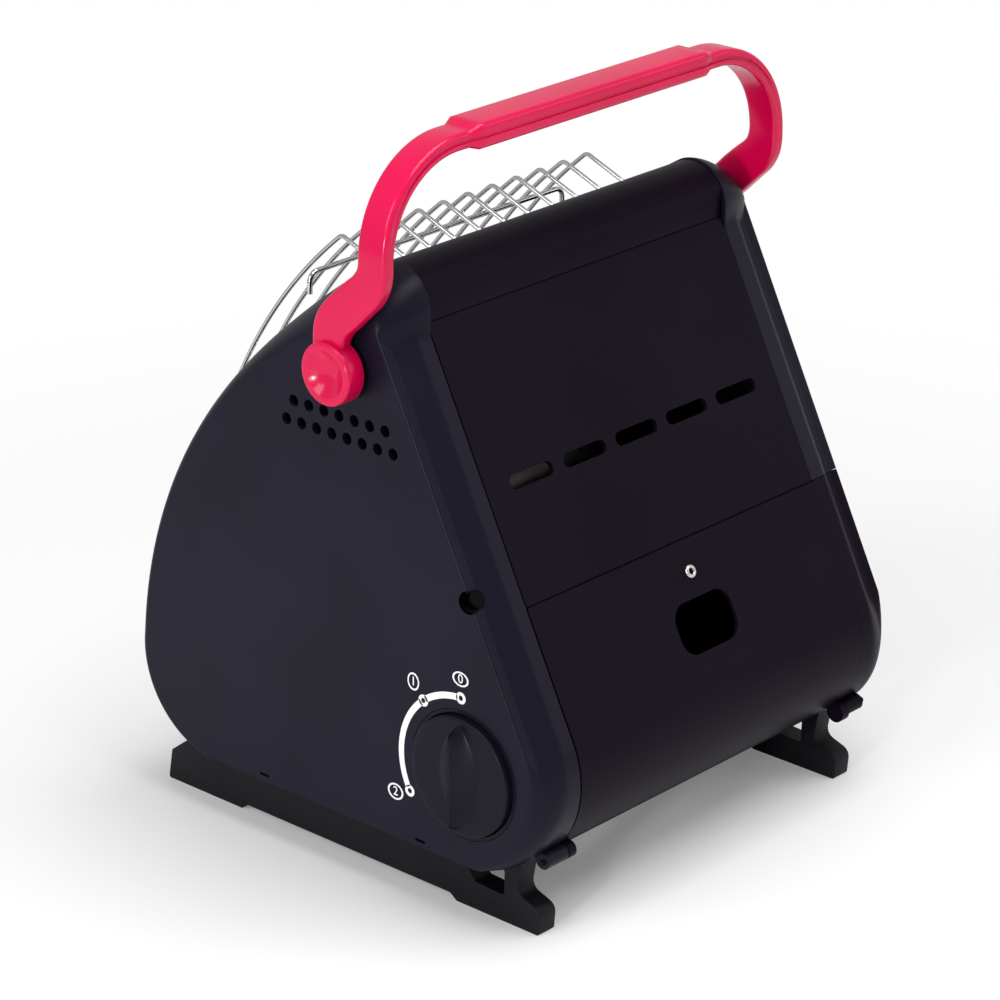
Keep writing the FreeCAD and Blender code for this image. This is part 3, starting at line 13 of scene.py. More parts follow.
import bpy
import numpy as np
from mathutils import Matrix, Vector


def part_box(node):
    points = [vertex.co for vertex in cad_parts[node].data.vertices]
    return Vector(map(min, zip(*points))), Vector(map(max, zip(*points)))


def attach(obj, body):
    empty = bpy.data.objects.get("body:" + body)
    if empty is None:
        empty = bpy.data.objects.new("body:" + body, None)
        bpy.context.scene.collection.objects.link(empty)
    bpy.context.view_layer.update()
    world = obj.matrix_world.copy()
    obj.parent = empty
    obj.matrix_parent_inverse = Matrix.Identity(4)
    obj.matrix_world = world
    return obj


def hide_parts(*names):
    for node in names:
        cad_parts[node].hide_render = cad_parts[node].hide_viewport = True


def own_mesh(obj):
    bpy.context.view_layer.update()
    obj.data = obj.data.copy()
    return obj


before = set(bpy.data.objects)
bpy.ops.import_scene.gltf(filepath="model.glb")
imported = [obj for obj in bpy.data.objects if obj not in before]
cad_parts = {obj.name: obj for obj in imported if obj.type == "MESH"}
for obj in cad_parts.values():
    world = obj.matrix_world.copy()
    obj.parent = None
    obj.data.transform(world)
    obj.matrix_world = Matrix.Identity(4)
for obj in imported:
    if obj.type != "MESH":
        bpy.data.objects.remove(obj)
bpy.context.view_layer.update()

LOG = logging.getLogger("heater")
MM = 0.001
OPENING_LEAN = 28.2
Array = np.ndarray
Profile = tuple[tuple[float, float], ...]
Corners = tuple[tuple[float, float, float], ...]


class Body(Enum):
    """The moving bodies of the heater."""

    CASING = "casing"
    DOOR = "door"
    PUSH = "push"
    KNOB = "knob"
    HANDLE = "handle"


class Side(Enum):
    """The knob's side and the far side, as the sign of X."""

    RIGHT = 1
    LEFT = -1


@dataclass
class Shell:
    """A closed skin of points in millimetres and faces of three or four corners."""

    points: Array
    faces: list[Array]

    def flipped(self) -> "Shell":
        """Return the skin with every face turned over."""
        return Shell(self.points, [face[:, ::-1] for face in self.faces])

    def outward(self) -> "Shell":
        """Return the skin with its faces pointing out, judged by the sign of its volume.

        Returns:
            The same skin, turned over if the sum of its corner products is negative.
        """
        volume = 0.0
        for face in self.faces:
            first = self.points[face[:, 0]]
            for corner in range(1, face.shape[1] - 1):
                second, third = self.points[face[:, corner]], self.points[face[:, corner + 1]]
                volume += float(np.einsum("ij,ij->i", first, np.cross(second, third)).sum())
        return self if volume > 0 else self.flipped()

    def mirrored(self) -> "Shell":
        """Return the skin mirrored in X, with its faces still pointing out."""
        return Shell(self.points * np.array([-1.0, 1.0, 1.0]), self.faces).flipped()


def joined(shells: Iterable[Shell]) -> Shell:
    """Put several skins in one.

    Args:
        shells: Skins that may overlap or stand apart.

    Returns:
        One skin that holds them all.
    """
    points, faces, start = [], [], 0
    for shell in shells:
        points.append(shell.points)
        faces.extend(face + start for face in shell.faces)
        start += len(shell.points)
    return Shell(np.concatenate(points), faces)


def loft(rings: Array, closed: bool = False) -> Shell:
    """Skin over a stack of rings with the same number of points.

    Point (i, j) joins (i + 1, j), (i + 1, j + 1) and (i, j + 1). The end rings are flat and each is
    filled by one face, or the last ring joins the first.

    Args:
        rings: Points by ring and by place round the ring, as (rings, places, 3).
        closed: True where the last ring joins the first.

    Returns:
        A closed skin that points out.
    """
    count, places, _ = rings.shape
    rows = np.arange(count if closed else count - 1)[:, None]
    columns = np.arange(places)[None, :]
    after_row, after_column = (rows + 1) % count, (columns + 1) % places
    quads = np.stack([rows * places + columns, after_row * places + columns,
                      after_row * places + after_column, rows * places + after_column], -1)
    faces = [quads.reshape(-1, 4)]
    if not closed:
        ring = np.arange(places)[None, :]
        faces += [ring, (count - 1) * places + ring[:, ::-1]]
    return Shell(rings.reshape(-1, 3), faces).outward()


def aimed(shell: Shell, origin: Sequence[float], way: Sequence[float]) -> Shell:
    """Turn a skin that stands along X so that it stands along a way from an origin.

    A point (x, y, z) becomes origin + x * way + y * side + z * top, at right angles to each other.

    Args:
        shell: The skin, built about the X axis.
        origin: Where its own origin goes.
        way: The new direction of its X axis.

    Returns:
        The turned skin.
    """
    way = np.array(way) / np.linalg.norm(way)
    side = np.cross(way, [1.0, 0.0, 0.0] if abs(way[0]) < 0.5 else [0.0, 0.0, 1.0])
    side /= np.linalg.norm(side)
    turn = np.stack([way, side, np.cross(way, side)])
    return Shell(np.array(origin) + shell.points @ turn, shell.faces).outward()


def arc_points(start: Array, middle: Array, end: Array, count: int) -> Array:
    """Sample the circles through three points each, for a whole stack at once.

    The centre solves the two equal-distance equations; the angle then runs evenly from the start
    through the middle to the end.

    Args:
        start: First points, as (stack, 2).
        middle: Points on the way, as (stack, 2).
        end: Last points, as (stack, 2).
        count: Number of samples, both ends included.

    Returns:
        Samples as (stack, count, 2).
    """
    (ax, ay), (bx, by), (cx, cy) = start.T, middle.T, end.T
    double = 2 * (ax * (by - cy) + bx * (cy - ay) + cx * (ay - by))
    a2, b2, c2 = ax**2 + ay**2, bx**2 + by**2, cx**2 + cy**2
    centre = np.stack([(a2 * (by - cy) + b2 * (cy - ay) + c2 * (ay - by)) / double,
                       (a2 * (cx - bx) + b2 * (ax - cx) + c2 * (bx - ax)) / double], -1)
    angles = [np.arctan2(*(point - centre).T[::-1]) for point in (start, middle, end)]
    turn = 2 * np.pi
    steps = [(b - a + np.pi) % turn - np.pi for a, b in zip(angles, angles[1:])]
    sweep = angles[0][:, None] + np.linspace(0, 1, count)[None, :] * (steps[0] + steps[1])[:, None]
    radius = np.linalg.norm(start - centre, axis=-1)[:, None, None]
    return centre[:, None, :] + radius * np.stack([np.cos(sweep), np.sin(sweep)], -1)


def line_points(start: Array, end: Array, count: int) -> Array:
    """Sample straight runs evenly, for a whole stack at once, as (stack, count, 2)."""
    share = np.linspace(0, 1, count)[None, :, None]
    return start[:, None, :] * (1 - share) + end[:, None, :] * share


def bend(before: Array, here: Array, after: Array, radius: float, count: int) -> Array:
    """Arc in a corner that touches both of its sides.

    It starts and ends at radius over the tangent of half the corner's angle from the corner.

    Args:
        before: Point before the corner.
        here: The corner.
        after: Point after the corner.
        radius: The arc's radius.
        count: Number of samples.

    Returns:
        Samples as (count, 2).
    """
    back = (before - here) / np.linalg.norm(before - here)
    ahead = (after - here) / np.linalg.norm(after - here)
    half = math.acos(float(np.clip(back @ ahead, -1, 1))) / 2
    reach = radius / math.tan(half)
    bisector = (back + ahead) / np.linalg.norm(back + ahead)
    middle = here + bisector * (radius / math.sin(half) - radius)
    return arc_points((here + back * reach)[None], middle[None], (here + ahead * reach)[None],
                      count)[0]


def route(corners: Sequence[tuple[float, float, float]], step: float = 4.0) -> Array:
    """Straight runs joined by arcs that touch them.

    Args:
        corners: Two coordinates and the bend's radius of each corner.
        step: Longest way between two samples along an arc of large radius.

    Returns:
        Points along the way, as (samples, 2).
    """
    points = np.array([corner[:2] for corner in corners], float)
    parts = [points[:1]]
    for before, here, after, corner in zip(points, points[1:], points[2:], corners[1:]):
        turn = abs(math.remainder(math.atan2(*(after - here)[::-1])
                                  - math.atan2(*(here - before)[::-1]), 2 * math.pi))
        parts.append(bend(before, here, after, corner[2], max(7, int(corner[2] * turn / step))))
    parts.append(points[-1:])
    return np.concatenate(parts)


def tube(path: Array, radius: float, upright: Array, places: int = 14) -> Shell:
    """Round bar along a flat path.

    Each ring is the path's point plus radius times (cos a * side + sin a * upright), where side is
    at right angles to the path and to the upright of its plane.

    Args:
        path: Points, as (samples, 3).
        radius: The bar's radius.
        upright: Normal of the path's plane.
        places: Points round the bar.

    Returns:
        A closed bar.
    """
    ahead = np.gradient(path, axis=0)
    ahead /= np.linalg.norm(ahead, axis=1, keepdims=True)
    side = np.cross(ahead, upright)
    angle = np.linspace(0, 2 * np.pi, places, endpoint=False)[None, :, None]
    rings = path[:, None] + radius * (np.cos(angle) * side[:, None] + np.sin(angle) * upright)
    return loft(rings)


def lathe(profile: Sequence[tuple[float, float]], centre: tuple[float, float],
          places: int = 72) -> Shell:
    """Turned form about a line along X.

    A profile point (x, r) becomes the ring (x, y + r cos a, z + r sin a).

    Args:
        profile: Distances along X and radii, from one end to the other.
        centre: Y and Z of the axis.
        places: Points round the form.

    Returns:
        A closed turned skin.
    """
    steps = np.array(profile, float)
    angle = np.linspace(0, 2 * np.pi, places, endpoint=False)[None, :]
    radius = np.maximum(steps[:, 1:2], 0.01)
    rings = np.stack([np.broadcast_to(steps[:, :1], (len(steps), places)),
                      centre[0] + radius * np.cos(angle), centre[1] + radius * np.sin(angle)], -1)
    return loft(rings)


def turned_ring(profile: Sequence[tuple[float, float]], centre: tuple[float, float],
                places: int = 36) -> Shell:
    """Turned form whose profile is a closed loop that stays clear of the axis.

    Args:
        profile: Distances along X and radii round the loop.
        centre: Y and Z of the axis.
        places: Points round the form.

    Returns:
        A ring-shaped skin.
    """
    rings = lathe(profile, centre, places).points.reshape(len(profile), places, 3)
    return loft(rings, closed=True)


def prism(outline: Array, low: float, high: float, edge: float = 0.0) -> Shell:
    """Flat outline of the YZ plane carried along X, with its two rims rounded.

    The rim rings run in a quarter circle: inset edge * (1 - cos a) at edge * (1 - sin a) from the
    end, along the outline's inward normals.

    Args:
        outline: Points of a closed outline, as (places, 2).
        low: Lowest X.
        high: Highest X.
        edge: Radius of the rims.

    Returns:
        A closed block.
    """
    if edge <= 0:
        insets, depths = np.zeros(1), np.zeros(1)
    else:
        angle = np.linspace(0, np.pi / 2, 4)
        insets, depths = edge * (1 - np.sin(angle)), edge * (1 - np.cos(angle))
    inward = inward_normals(outline)
    near = outline[None] + insets[:, None, None] * inward[None]
    rows = [np.concatenate([np.full((*near.shape[:2], 1), low) + depths[:, None, None], near], -1),
            np.concatenate([np.full((*near.shape[:2], 1), high) - depths[:, None, None], near],
                           -1)[::-1]]
    return loft(np.concatenate(rows))


def inward_normals(outline: Array) -> Array:
    """Unit normals of a closed outline that point to its inside.

    The way ahead at a point is the next point less the one before; the normal is that way turned
    by a quarter, towards the left of an anticlockwise outline.

    Args:
        outline: Points as (places, 2).

    Returns:
        Normals as (places, 2).
    """
    ahead = np.roll(outline, -1, 0) - np.roll(outline, 1, 0)
    ahead /= np.maximum(np.linalg.norm(ahead, axis=1, keepdims=True), 1e-9)
    following = np.roll(outline, -1, 0)
    area = float((outline[:, 0] * following[:, 1] - following[:, 0] * outline[:, 1]).sum())
    return np.stack([-ahead[:, 1], ahead[:, 0]], -1) * (1 if area > 0 else -1)


def rounded_outline(corners: Sequence[tuple[float, float, float]], per_corner: int = 6) -> Array:
    """Closed outline with an arc at each corner that touches both of its sides.

    Args:
        corners: Two coordinates and a radius for each corner; radius 0 keeps the point.
        per_corner: Samples on each arc.

    Returns:
        Points of the outline, as (samples, 2).
    """
    points = np.array([corner[:2] for corner in corners], float)
    parts = []
    for before, here, after, corner in zip(np.roll(points, 1, 0), points, np.roll(points, -1, 0),
                                           corners):
        if corner[2] == 0:
            parts.append(here[None])
        else:
            parts.append(bend(before, here, after, corner[2], per_corner))
    return np.concatenate(parts)


def rounded_rectangle(middle: Sequence[float], half: Sequence[float], radius: float,
                      per_corner: int = 6) -> Array:
    """Closed outline of a rectangle with round corners, as (samples, 2)."""
    return rounded_outline([(middle[0] + u * half[0], middle[1] + v * half[1], radius)
                            for u, v in ((-1, -1), (1, -1), (1, 1), (-1, 1))], per_corner)


def smooth_path(knots: Sequence[tuple[float, float]], count: int) -> Array:
    """Curve through knots, each run a cubic whose slopes come from the knots beside it.

    Args:
        knots: Points that the curve passes.
        count: Samples over the whole curve.

    Returns:
        Samples as (count, 2).
    """
    points = np.array(knots, float)
    padded = np.concatenate([2 * points[:1] - points[1:2], points, 2 * points[-1:] - points[-2:-1]])
    place = np.linspace(0, len(points) - 1 - 1e-9, count)
    run = place.astype(int)
    t = (place - run)[:, None]
    p0, p1, p2, p3 = (padded[run + k] for k in range(4))
    return 0.5 * (2 * p1 + (p2 - p0) * t + (2 * p0 - 5 * p1 + 4 * p2 - p3) * t**2
                  + (3 * p1 - p0 - 3 * p2 + p3) * t**3)


def mesh_of(name: str, shell: Shell) -> bpy.types.Mesh:
    """Make a Blender mesh in metres from a skin in millimetres.

    Args:
        name: The mesh's name.
        shell: The skin.

    Returns:
        The mesh.
    """
    mesh = bpy.data.meshes.new(name)
    faces = [corner for face in shell.faces for corner in face.tolist()]
    mesh.from_pydata((shell.points * MM).tolist(), [], faces)
    mesh.validate()
    return mesh


def carve(target: bpy.types.Object, cutter: Shell, operation: str = "DIFFERENCE") -> None:
    """Take a skin away from a piece's mesh, or keep only what lies in it.

    Args:
        target: The piece, whose mesh is replaced.
        cutter: Closed skins that don't touch each other.
        operation: Blender's name for the Boolean.
    """
    tool = bpy.data.objects.new("tool", mesh_of("tool", cutter))
    bpy.context.scene.collection.objects.link(tool)
    modifier = target.modifiers.new("carve", "BOOLEAN")
    modifier.operation, modifier.solver, modifier.object = operation, "EXACT", tool
    bpy.context.view_layer.update()
    finished = bpy.data.meshes.new_from_object(
        target.evaluated_get(bpy.context.evaluated_depsgraph_get()))
    target.modifiers.clear()
    target.data = finished
    bpy.data.objects.remove(tool)


def piece(name: str, shell: Shell, body: Body, replaces: Sequence[str] = ()
          ) -> bpy.types.Object:
    """Link a new piece, hang it on its body's empty and hide the CAD nodes that it stands for.

    Args:
        name: The piece's name.
        shell: Its skin.
        body: The body it moves with.
        replaces: CAD nodes that it stands for.

    Returns:
        The linked object, at the origin.
    """
    item = bpy.data.objects.new(name, mesh_of(name, shell))
    bpy.context.scene.collection.objects.link(item)
    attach(item, body.value)
    if replaces:
        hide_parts(*replaces)
    LOG.info("%s: %d faces on %s", name, len(item.data.polygons), body.value)
    return item


def dress(item: bpy.types.Object, finish: "Finish", crease: float | None = 32.0) -> None:
    """Give a piece its finish and shade it smooth.

    Args:
        item: The piece, or a CAD node's object.
        finish: What it is dressed in.
        crease: Angle in degrees past which an edge stays sharp; None leaves the shading alone.
    """
    item.data.materials.clear()
    item.data.materials.append(finish.material())
    if crease is not None:
        item.data.shade_smooth()
        item.data.set_sharp_from_angle(angle=math.radians(crease))


class Signal:
    """A number that runs through a node tree; arithmetic on it adds Math nodes."""

    def __init__(self, tree: "Tree", socket: bpy.types.NodeSocket) -> None:
        """Hold the tree and the socket that gives the number."""
        self.tree, self.socket = tree, socket

    def _math(self, operation: str, *values: Any) -> "Signal":
        """Add one Math node over the given values and return what it gives."""
        node = self.tree.node("ShaderNodeMath", {"operation": operation}, dict(enumerate(values)))
        return Signal(self.tree, node.outputs[0])

    def __add__(self, other: Any) -> "Signal":
        """Add."""
        return self._math("ADD", self, other)

    __radd__ = __add__

    def __mul__(self, other: Any) -> "Signal":
        """Multiply."""
        return self._math("MULTIPLY", self, other)

    __rmul__ = __mul__

    def __sub__(self, other: Any) -> "Signal":
        """Take a value away."""
        return self._math("SUBTRACT", self, other)

    def __rsub__(self, other: Any) -> "Signal":
        """Take this from a value."""
        return self._math("SUBTRACT", other, self)

    def fade(self, low: float, high: float, start: float = 0.0) -> "Signal":
        """Rise smoothly from start at low to 1 at high."""
        node = self.tree.node("ShaderNodeMapRange", {"interpolation_type": "SMOOTHSTEP"}, {
            "Value": self, "From Min": low, "From Max": high, "To Min": start})
        return Signal(self.tree, node.outputs[0])

    def wave(self) -> "Signal":
        """Sine of the number."""
        return self._math("SINE", self)


class Tree:
    """A node tree that starts empty, with its one way to add a node."""

    def __init__(self, base: bpy.types.NodeTree) -> None:
        """Empty the given tree and hold it."""
        self.base = base
        self.base.nodes.clear()

    def node(self, kind: str, settings: dict[str, Any], inputs: dict[Any, Any]) -> bpy.types.Node:
        """Add a node: its settings are made first, then its sockets get values or links.

        Args:
            kind: Blender's name for the node.
            settings: Attributes of the node.
            inputs: Values, sockets or signals by socket name or number.

        Returns:
            The node.
        """
        node = self.base.nodes.new(kind)
        for name, setting in settings.items():
            setattr(node, name, setting)
        for name, given in inputs.items():
            source = given.socket if isinstance(given, Signal) else given
            if isinstance(source, bpy.types.NodeSocket):
                self.base.links.new(source, node.inputs[name])
            else:
                node.inputs[name].default_value = source
        return node


class SurfaceTree(Tree):
    """One material's tree with its shader and its object coordinates."""

    def __init__(self, name: str, shader: dict[str, Any]) -> None:
        """Start a material whose shader sockets hold the given constants."""
        self.material = bpy.data.materials.new(name)
        self.material.use_nodes = True
        super().__init__(self.material.node_tree)
        self.shader = self.node("ShaderNodeBsdfPrincipled", {}, shader)
        self.out = self.node("ShaderNodeOutputMaterial", {}, {"Surface": self.shader.outputs[0]})
        self.place = self.node("ShaderNodeTexCoord", {}, {}).outputs["Object"]

    def noise(self, scale: float, detail: float = 2.0, stretch: Sequence[float] = (1, 1, 1)
              ) -> Signal:
        """Cloudy noise on the object's own coordinates.

        Args:
            scale: Clouds to a metre.
            detail: Octaves of finer noise on top.
            stretch: Factors on the coordinates; a small one draws the clouds out.

        Returns:
            The noise, about 0 to 1.
        """
        place = self.node("ShaderNodeMapping", {}, {
            "Vector": self.place, "Scale": tuple(stretch)}).outputs[0]
        node = self.node("ShaderNodeTexNoise", {}, {
            "Vector": place, "Scale": scale, "Detail": detail})
        return Signal(self, node.outputs[0])

    def blend(self, share: Signal, low: Any, high: Sequence[float]) -> bpy.types.NodeSocket:
        """Mix a colour, or a socket that gives one, with another colour by a signal."""
        first = low if isinstance(low, bpy.types.NodeSocket) else (*low, 1)
        return self.node("ShaderNodeMix", {"data_type": "RGBA"}, {
            0: share, 6: first, 7: (*high, 1)}).outputs[2]

    def feed(self, socket: str, source: Any) -> None:
        """Link a signal or a colour to one of the shader's sockets."""
        self.base.links.new(source.socket if isinstance(source, Signal) else source,
                            self.shader.inputs[socket])

    def bump(self, height: Signal, depth: float) -> None:
        """Let a signal raise the surface by a depth in metres."""
        self.feed("Normal", self.node("ShaderNodeBump", {}, {
            "Height": height, "Distance": depth}).outputs[0])


@dataclass(frozen=True)
class Finish:
    """What every finish has: a name, a main colour and its second tone."""

    name: str
    colour: tuple[float, float, float]
    tone: tuple[float, float, float]

    def material(self) -> bpy.types.Material:
        """Return the finish's material, made once."""
        made = bpy.data.materials.get(self.name)
        return made if made else self.make()

    def make(self) -> bpy.types.Material:
        """Make the material; each kind of finish has its own way."""
        raise NotImplementedError


@dataclass(frozen=True)
class MouldedPlastic(Finish):
    """Moulded plastic: a fine grain, a faint cloudiness and small changes of gloss."""

    roughness: float = 0.42
    specular: float = 0.3
    grain: float = 1900.0
    grain_depth: float = 0.00003

    def make(self) -> bpy.types.Material:
        """Make the material: grain in the bump, slow noise in colour and roughness."""
        tree = SurfaceTree(self.name, {"Specular IOR Level": self.specular})
        slow = tree.noise(14.0)
        fine = tree.noise(self.grain, 3.0)
        tree.feed("Base Color", tree.blend(slow.fade(0.35, 0.65), self.colour, self.tone))
        tree.feed("Roughness", self.roughness + (slow - 0.5) * 0.08 + (fine - 0.5) * 0.06)
        tree.bump(fine, self.grain_depth)
        return tree.material


@dataclass(frozen=True)
class PowderCoat(Finish):
    """Coated sheet: soft orange peel over the metal and a finer grain on top."""

    roughness: float = 0.4
    specular: float = 0.3
    peel: float = 420.0
    peel_depth: float = 0.00006

    def make(self) -> bpy.types.Material:
        """Make the material: two noises add up to the coat's height."""
        tree = SurfaceTree(self.name, {"Specular IOR Level": self.specular})
        slow, peel, fine = tree.noise(9.0), tree.noise(self.peel, 2.0), tree.noise(2400.0, 2.0)
        tree.feed("Base Color", tree.blend(slow.fade(0.3, 0.7), self.colour, self.tone))
        tree.feed("Roughness", self.roughness + (slow - 0.5) * 0.1 + (fine - 0.5) * 0.05)
        tree.bump(peel * 0.7 + fine * 0.3, self.peel_depth)
        return tree.material


@dataclass(frozen=True)
class Metal(Finish):
    """Bare or plated metal with drawn lines along one direction and faint smears."""

    roughness: float = 0.25
    stretch: tuple[float, float, float] = (1.0, 1.0, 1.0)
    scale: float = 1500.0
    depth: float = 0.00001
    smear: float = 0.1
    # Painted shade: faces that look to the rear take this dark colour.
    sooty_rear: bool = False
    soot: tuple[float, float, float] = (0.012, 0.011, 0.012)

    def make(self) -> bpy.types.Material:
        """Make the material: stretched noise gives the lines, slow noise the smears.

        Where the rear is shaded, faces that look to the rear are painted dark by their normal's Y:
        painted shade for the casing's inside seen through the vents.
        """
        tree = SurfaceTree(self.name, {"Metallic": 1.0})
        lines, slow = tree.noise(self.scale, 2.0, self.stretch), tree.noise(35.0, 3.0)
        colour = tree.blend(slow.fade(0.35, 0.7), self.colour, self.tone)
        # Painted shade on the rear-facing faces, mixed in by the normal's Y.
        if self.sooty_rear:
            normal = tree.node("ShaderNodeNewGeometry", {}, {}).outputs["Normal"]
            parts = tree.node("ShaderNodeSeparateXYZ", {}, {0: normal})
            mask = Signal(tree, parts.outputs[1]).fade(-0.05, 0.15)
            colour = tree.blend(mask, colour, self.soot)
        tree.feed("Base Color", colour)
        tree.feed("Roughness", self.roughness + (slow - 0.5) * self.smear + (lines - 0.5) * 0.1)
        tree.bump(lines, self.depth)
        return tree.material


@dataclass(frozen=True)
class BurnerCeramic(Finish):
    """Pale ceramic with rows of pin-holes, in the plane of the front opening."""

    pitch: float = 0.0024
    lean: float = OPENING_LEAN

    def make(self) -> bpy.types.Material:
        """Make the material: the product of two sines is high at the holes, which are painted dark
        as painted shade inside each hole.
        """
        tree = SurfaceTree(self.name, {"Roughness": 0.85, "Specular IOR Level": 0.2})
        place = tree.node("ShaderNodeMapping", {}, {
            "Vector": tree.place, "Rotation": (math.radians(self.lean), 0, 0)}).outputs[0]
        parts = tree.node("ShaderNodeSeparateXYZ", {}, {0: place})
        rate = 2 * math.pi / self.pitch
        across = (Signal(tree, parts.outputs[0]) * rate).wave()
        along = (Signal(tree, parts.outputs[2]) * rate).wave()
        hole = (across * along).fade(0.3, 0.6)
        dust = tree.noise(60.0, 3.0).fade(0.4, 0.7)
        # Painted shade in the pin-holes, with a little real dust darkening on top.
        tree.feed("Base Color", tree.blend(hole * 0.85 + dust * 0.15, self.colour, self.tone))
        tree.bump(1 - hole, 0.0004)
        return tree.material


@dataclass(frozen=True)
class PrintedInk(Finish):
    """White screen print, thin and slightly uneven."""

    def make(self) -> bpy.types.Material:
        """Make the material: fine noise speckles the ink and dulls it."""
        tree = SurfaceTree(self.name, {"Specular IOR Level": 0.3})
        speck = tree.noise(900.0, 2.0)
        tree.feed("Base Color", tree.blend(speck.fade(0.3, 0.75), self.colour, self.tone))
        tree.feed("Roughness", 0.45 + (speck - 0.5) * 0.2)
        tree.bump(speck, 0.00001)
        return tree.material


SATIN_SIDE = MouldedPlastic("satin_side", (0.0058, 0.0048, 0.0125), (0.0080, 0.0068, 0.0160),
                            roughness=0.36, specular=0.11)
COATED_SHEET = PowderCoat("coated_sheet", (0.0042, 0.0018, 0.0062), (0.0058, 0.0028, 0.0084),
                          specular=0.05)
SKID_PLASTIC = MouldedPlastic("skid_plastic", (0.0035, 0.0028, 0.0050), (0.0055, 0.0045, 0.0072),
                              roughness=0.5, specular=0.15)
KNOB_PLASTIC = MouldedPlastic("knob_black", (0.0050, 0.0038, 0.0090), (0.0068, 0.0054, 0.0118),
                              roughness=0.36, specular=0.11, grain=2600.0, grain_depth=0.00002)
HANDLE_RED = MouldedPlastic("handle_red", (0.58, 0.0004, 0.056), (0.64, 0.0008, 0.068),
                            roughness=0.2, specular=0.3, grain=700.0, grain_depth=0.00001)
CHROME = Metal("bright_chrome", (0.56, 0.57, 0.56), (0.50, 0.50, 0.49), roughness=0.08, smear=0.06)
# The reflector's rear faces get painted shade, so that the inside of the casing shows dark through
# the vents.
MIRROR = Metal("bowl_mirror", (0.84, 0.84, 0.85), (0.76, 0.76, 0.77), roughness=0.14,
               stretch=(1.0, 0.1, 0.1), smear=0.12, sooty_rear=True)
GALVANISED = Metal("galvanised_sheet", (0.52, 0.53, 0.54), (0.40, 0.41, 0.43), roughness=0.42,
                   scale=300.0, depth=0.00003, smear=0.25)
BRUSHED = Metal("brushed_steel", (0.60, 0.59, 0.57), (0.50, 0.48, 0.46), roughness=0.32,
                stretch=(0.05, 1.0, 1.0))
# Dark steel that also serves as painted shade: the side frames and the sheet behind the vents wear
# it so that the vents show dark.
DARK_STEEL_AND_SHADE = PowderCoat("dark_steel_and_painted_shade", (0.0035, 0.0030, 0.0045), (0.0055, 0.0050, 0.0065),
                        roughness=0.55, specular=0.05)
ZINC = Metal("zinc_plate", (0.66, 0.65, 0.62), (0.55, 0.55, 0.55), roughness=0.28, smear=0.15)
BRASS = Metal("valve_brass", (0.76, 0.58, 0.28), (0.62, 0.45, 0.20), roughness=0.3,
              stretch=(0.1, 1.0, 1.0), smear=0.2)
CERAMIC = BurnerCeramic("burner_ceramic", (0.80, 0.76, 0.68), (0.10, 0.08, 0.07))
INK = PrintedInk("white_ink", (0.86, 0.86, 0.88), (0.74, 0.74, 0.76))

CARRIED: dict[Finish, tuple[str, ...]] = {
    # The side frames are dressed dark as painted shade behind the vents.
    DARK_STEEL_AND_SHADE: ("side_frame_right", "side_frame_left", "heat_shield", "hinge_pin_right",
                 "hinge_pin_left"),
    GALVANISED: ("cartridge_cradle",),
    COATED_SHEET: ("back_panel", "base_plate", "front_frame"),
    MIRROR: ("reflector",),
    BRUSHED: ("burner_box", "burner_screen", "mixing_tube", "thermocouple"),
    CERAMIC: ("ceramic_plaque", "spark_electrode"),
    BRASS: ("regulator", "gas_pipe", "gas_jet", "knob_spindle"),
    KNOB_PLASTIC: ("igniter", "knob_cup", "knob_collar"),
    ZINC: ("handle_stud_right", "handle_stud_left", "door_catch"),
}


@dataclass(frozen=True)
class CaseSection:
    """The casing's side line: the front's great arc, the ridge, the rear slope and the roll.

    Points are Y and Z. The slope touches the roll, whose axis is where distances down the slope
    and out of it start. The door's top is that far up the slope, and its inner plane that far out.
    """

    lean: float = 26.4
    roll: tuple[float, float] = (82.5, 76.0)
    roll_radius: float = 48.0
    front: tuple[float, float] = (195.6, 22.9)
    front_radius: float = 332.0
    chin_radius: float = 46.0
    ridge_y: float = 20.0
    ridge_radius: float = 20.0
    door_top: float = 63.6
    door_cavity: float = 17.0

    @property
    def outward(self) -> Array:
        """Unit normal of the slope."""
        angle = math.radians(self.lean)
        return np.array([math.cos(angle), math.sin(angle)])

    @property
    def chin(self) -> Array:
        """Centre of the chin's arc, level with the roll, where that arc touches the front's."""
        reach, rise = self.front_radius - self.chin_radius, self.roll[1] - self.front[1]
        return np.array([self.front[0] - math.sqrt(reach**2 - rise**2), self.roll[1]])

    @property
    def ridge(self) -> Array:
        """Centre of the ridge's arc, where that arc touches the front's."""
        reach, back = self.front_radius - self.ridge_radius, self.front[0] - self.ridge_y
        return np.array([self.ridge_y, self.front[1] + math.sqrt(reach**2 - back**2)])

    @property
    def ridge_angle(self) -> float:
        """Angle about the front's centre at which its arc meets the ridge's."""
        return math.atan2(self.ridge[1] - self.front[1], self.ridge_y - self.front[0])

    def point(self, down: Array, out: Array) -> Array:
        """YZ of points given down the slope and out from the roll's axis.

        Args:
            down: Millimetres down the slope from the roll's axis.
            out: Millimetres out of the slope from the axis.

        Returns:
            Points as (..., 2).
        """
        n = self.outward
        along = np.array([n[1], -n[0]])
        return (np.array(self.roll) + np.asarray(down)[..., None] * along
                + np.asarray(out)[..., None] * n)

    def block(self, x: tuple[float, float], down: tuple[float, float],
              out: tuple[float, float]) -> Shell:
        """A box that lies in the slope, between the given limits."""
        corners = self.point(np.array([down[0], down[1], down[1], down[0]]),
                             np.array([out[0], out[0], out[1], out[1]]))
        return prism(corners, *x)


@dataclass(frozen=True)
class HingeLine:
    """The line that the door turns about, and the barrels on it."""

    axis: tuple[float, float] = (119.6, 40.4)
    radius: float = 4.1
    chamfer: float = 0.4

    def barrel(self, low: float, high: float) -> Shell:
        """A barrel between two places along X, chamfered at both ends."""
        end = self.radius - self.chamfer
        return lathe([(low, end), (low + self.chamfer, self.radius),
                      (high - self.chamfer, self.radius), (high, end)], self.axis, 40)


CASE = CaseSection()
HINGE = HingeLine()


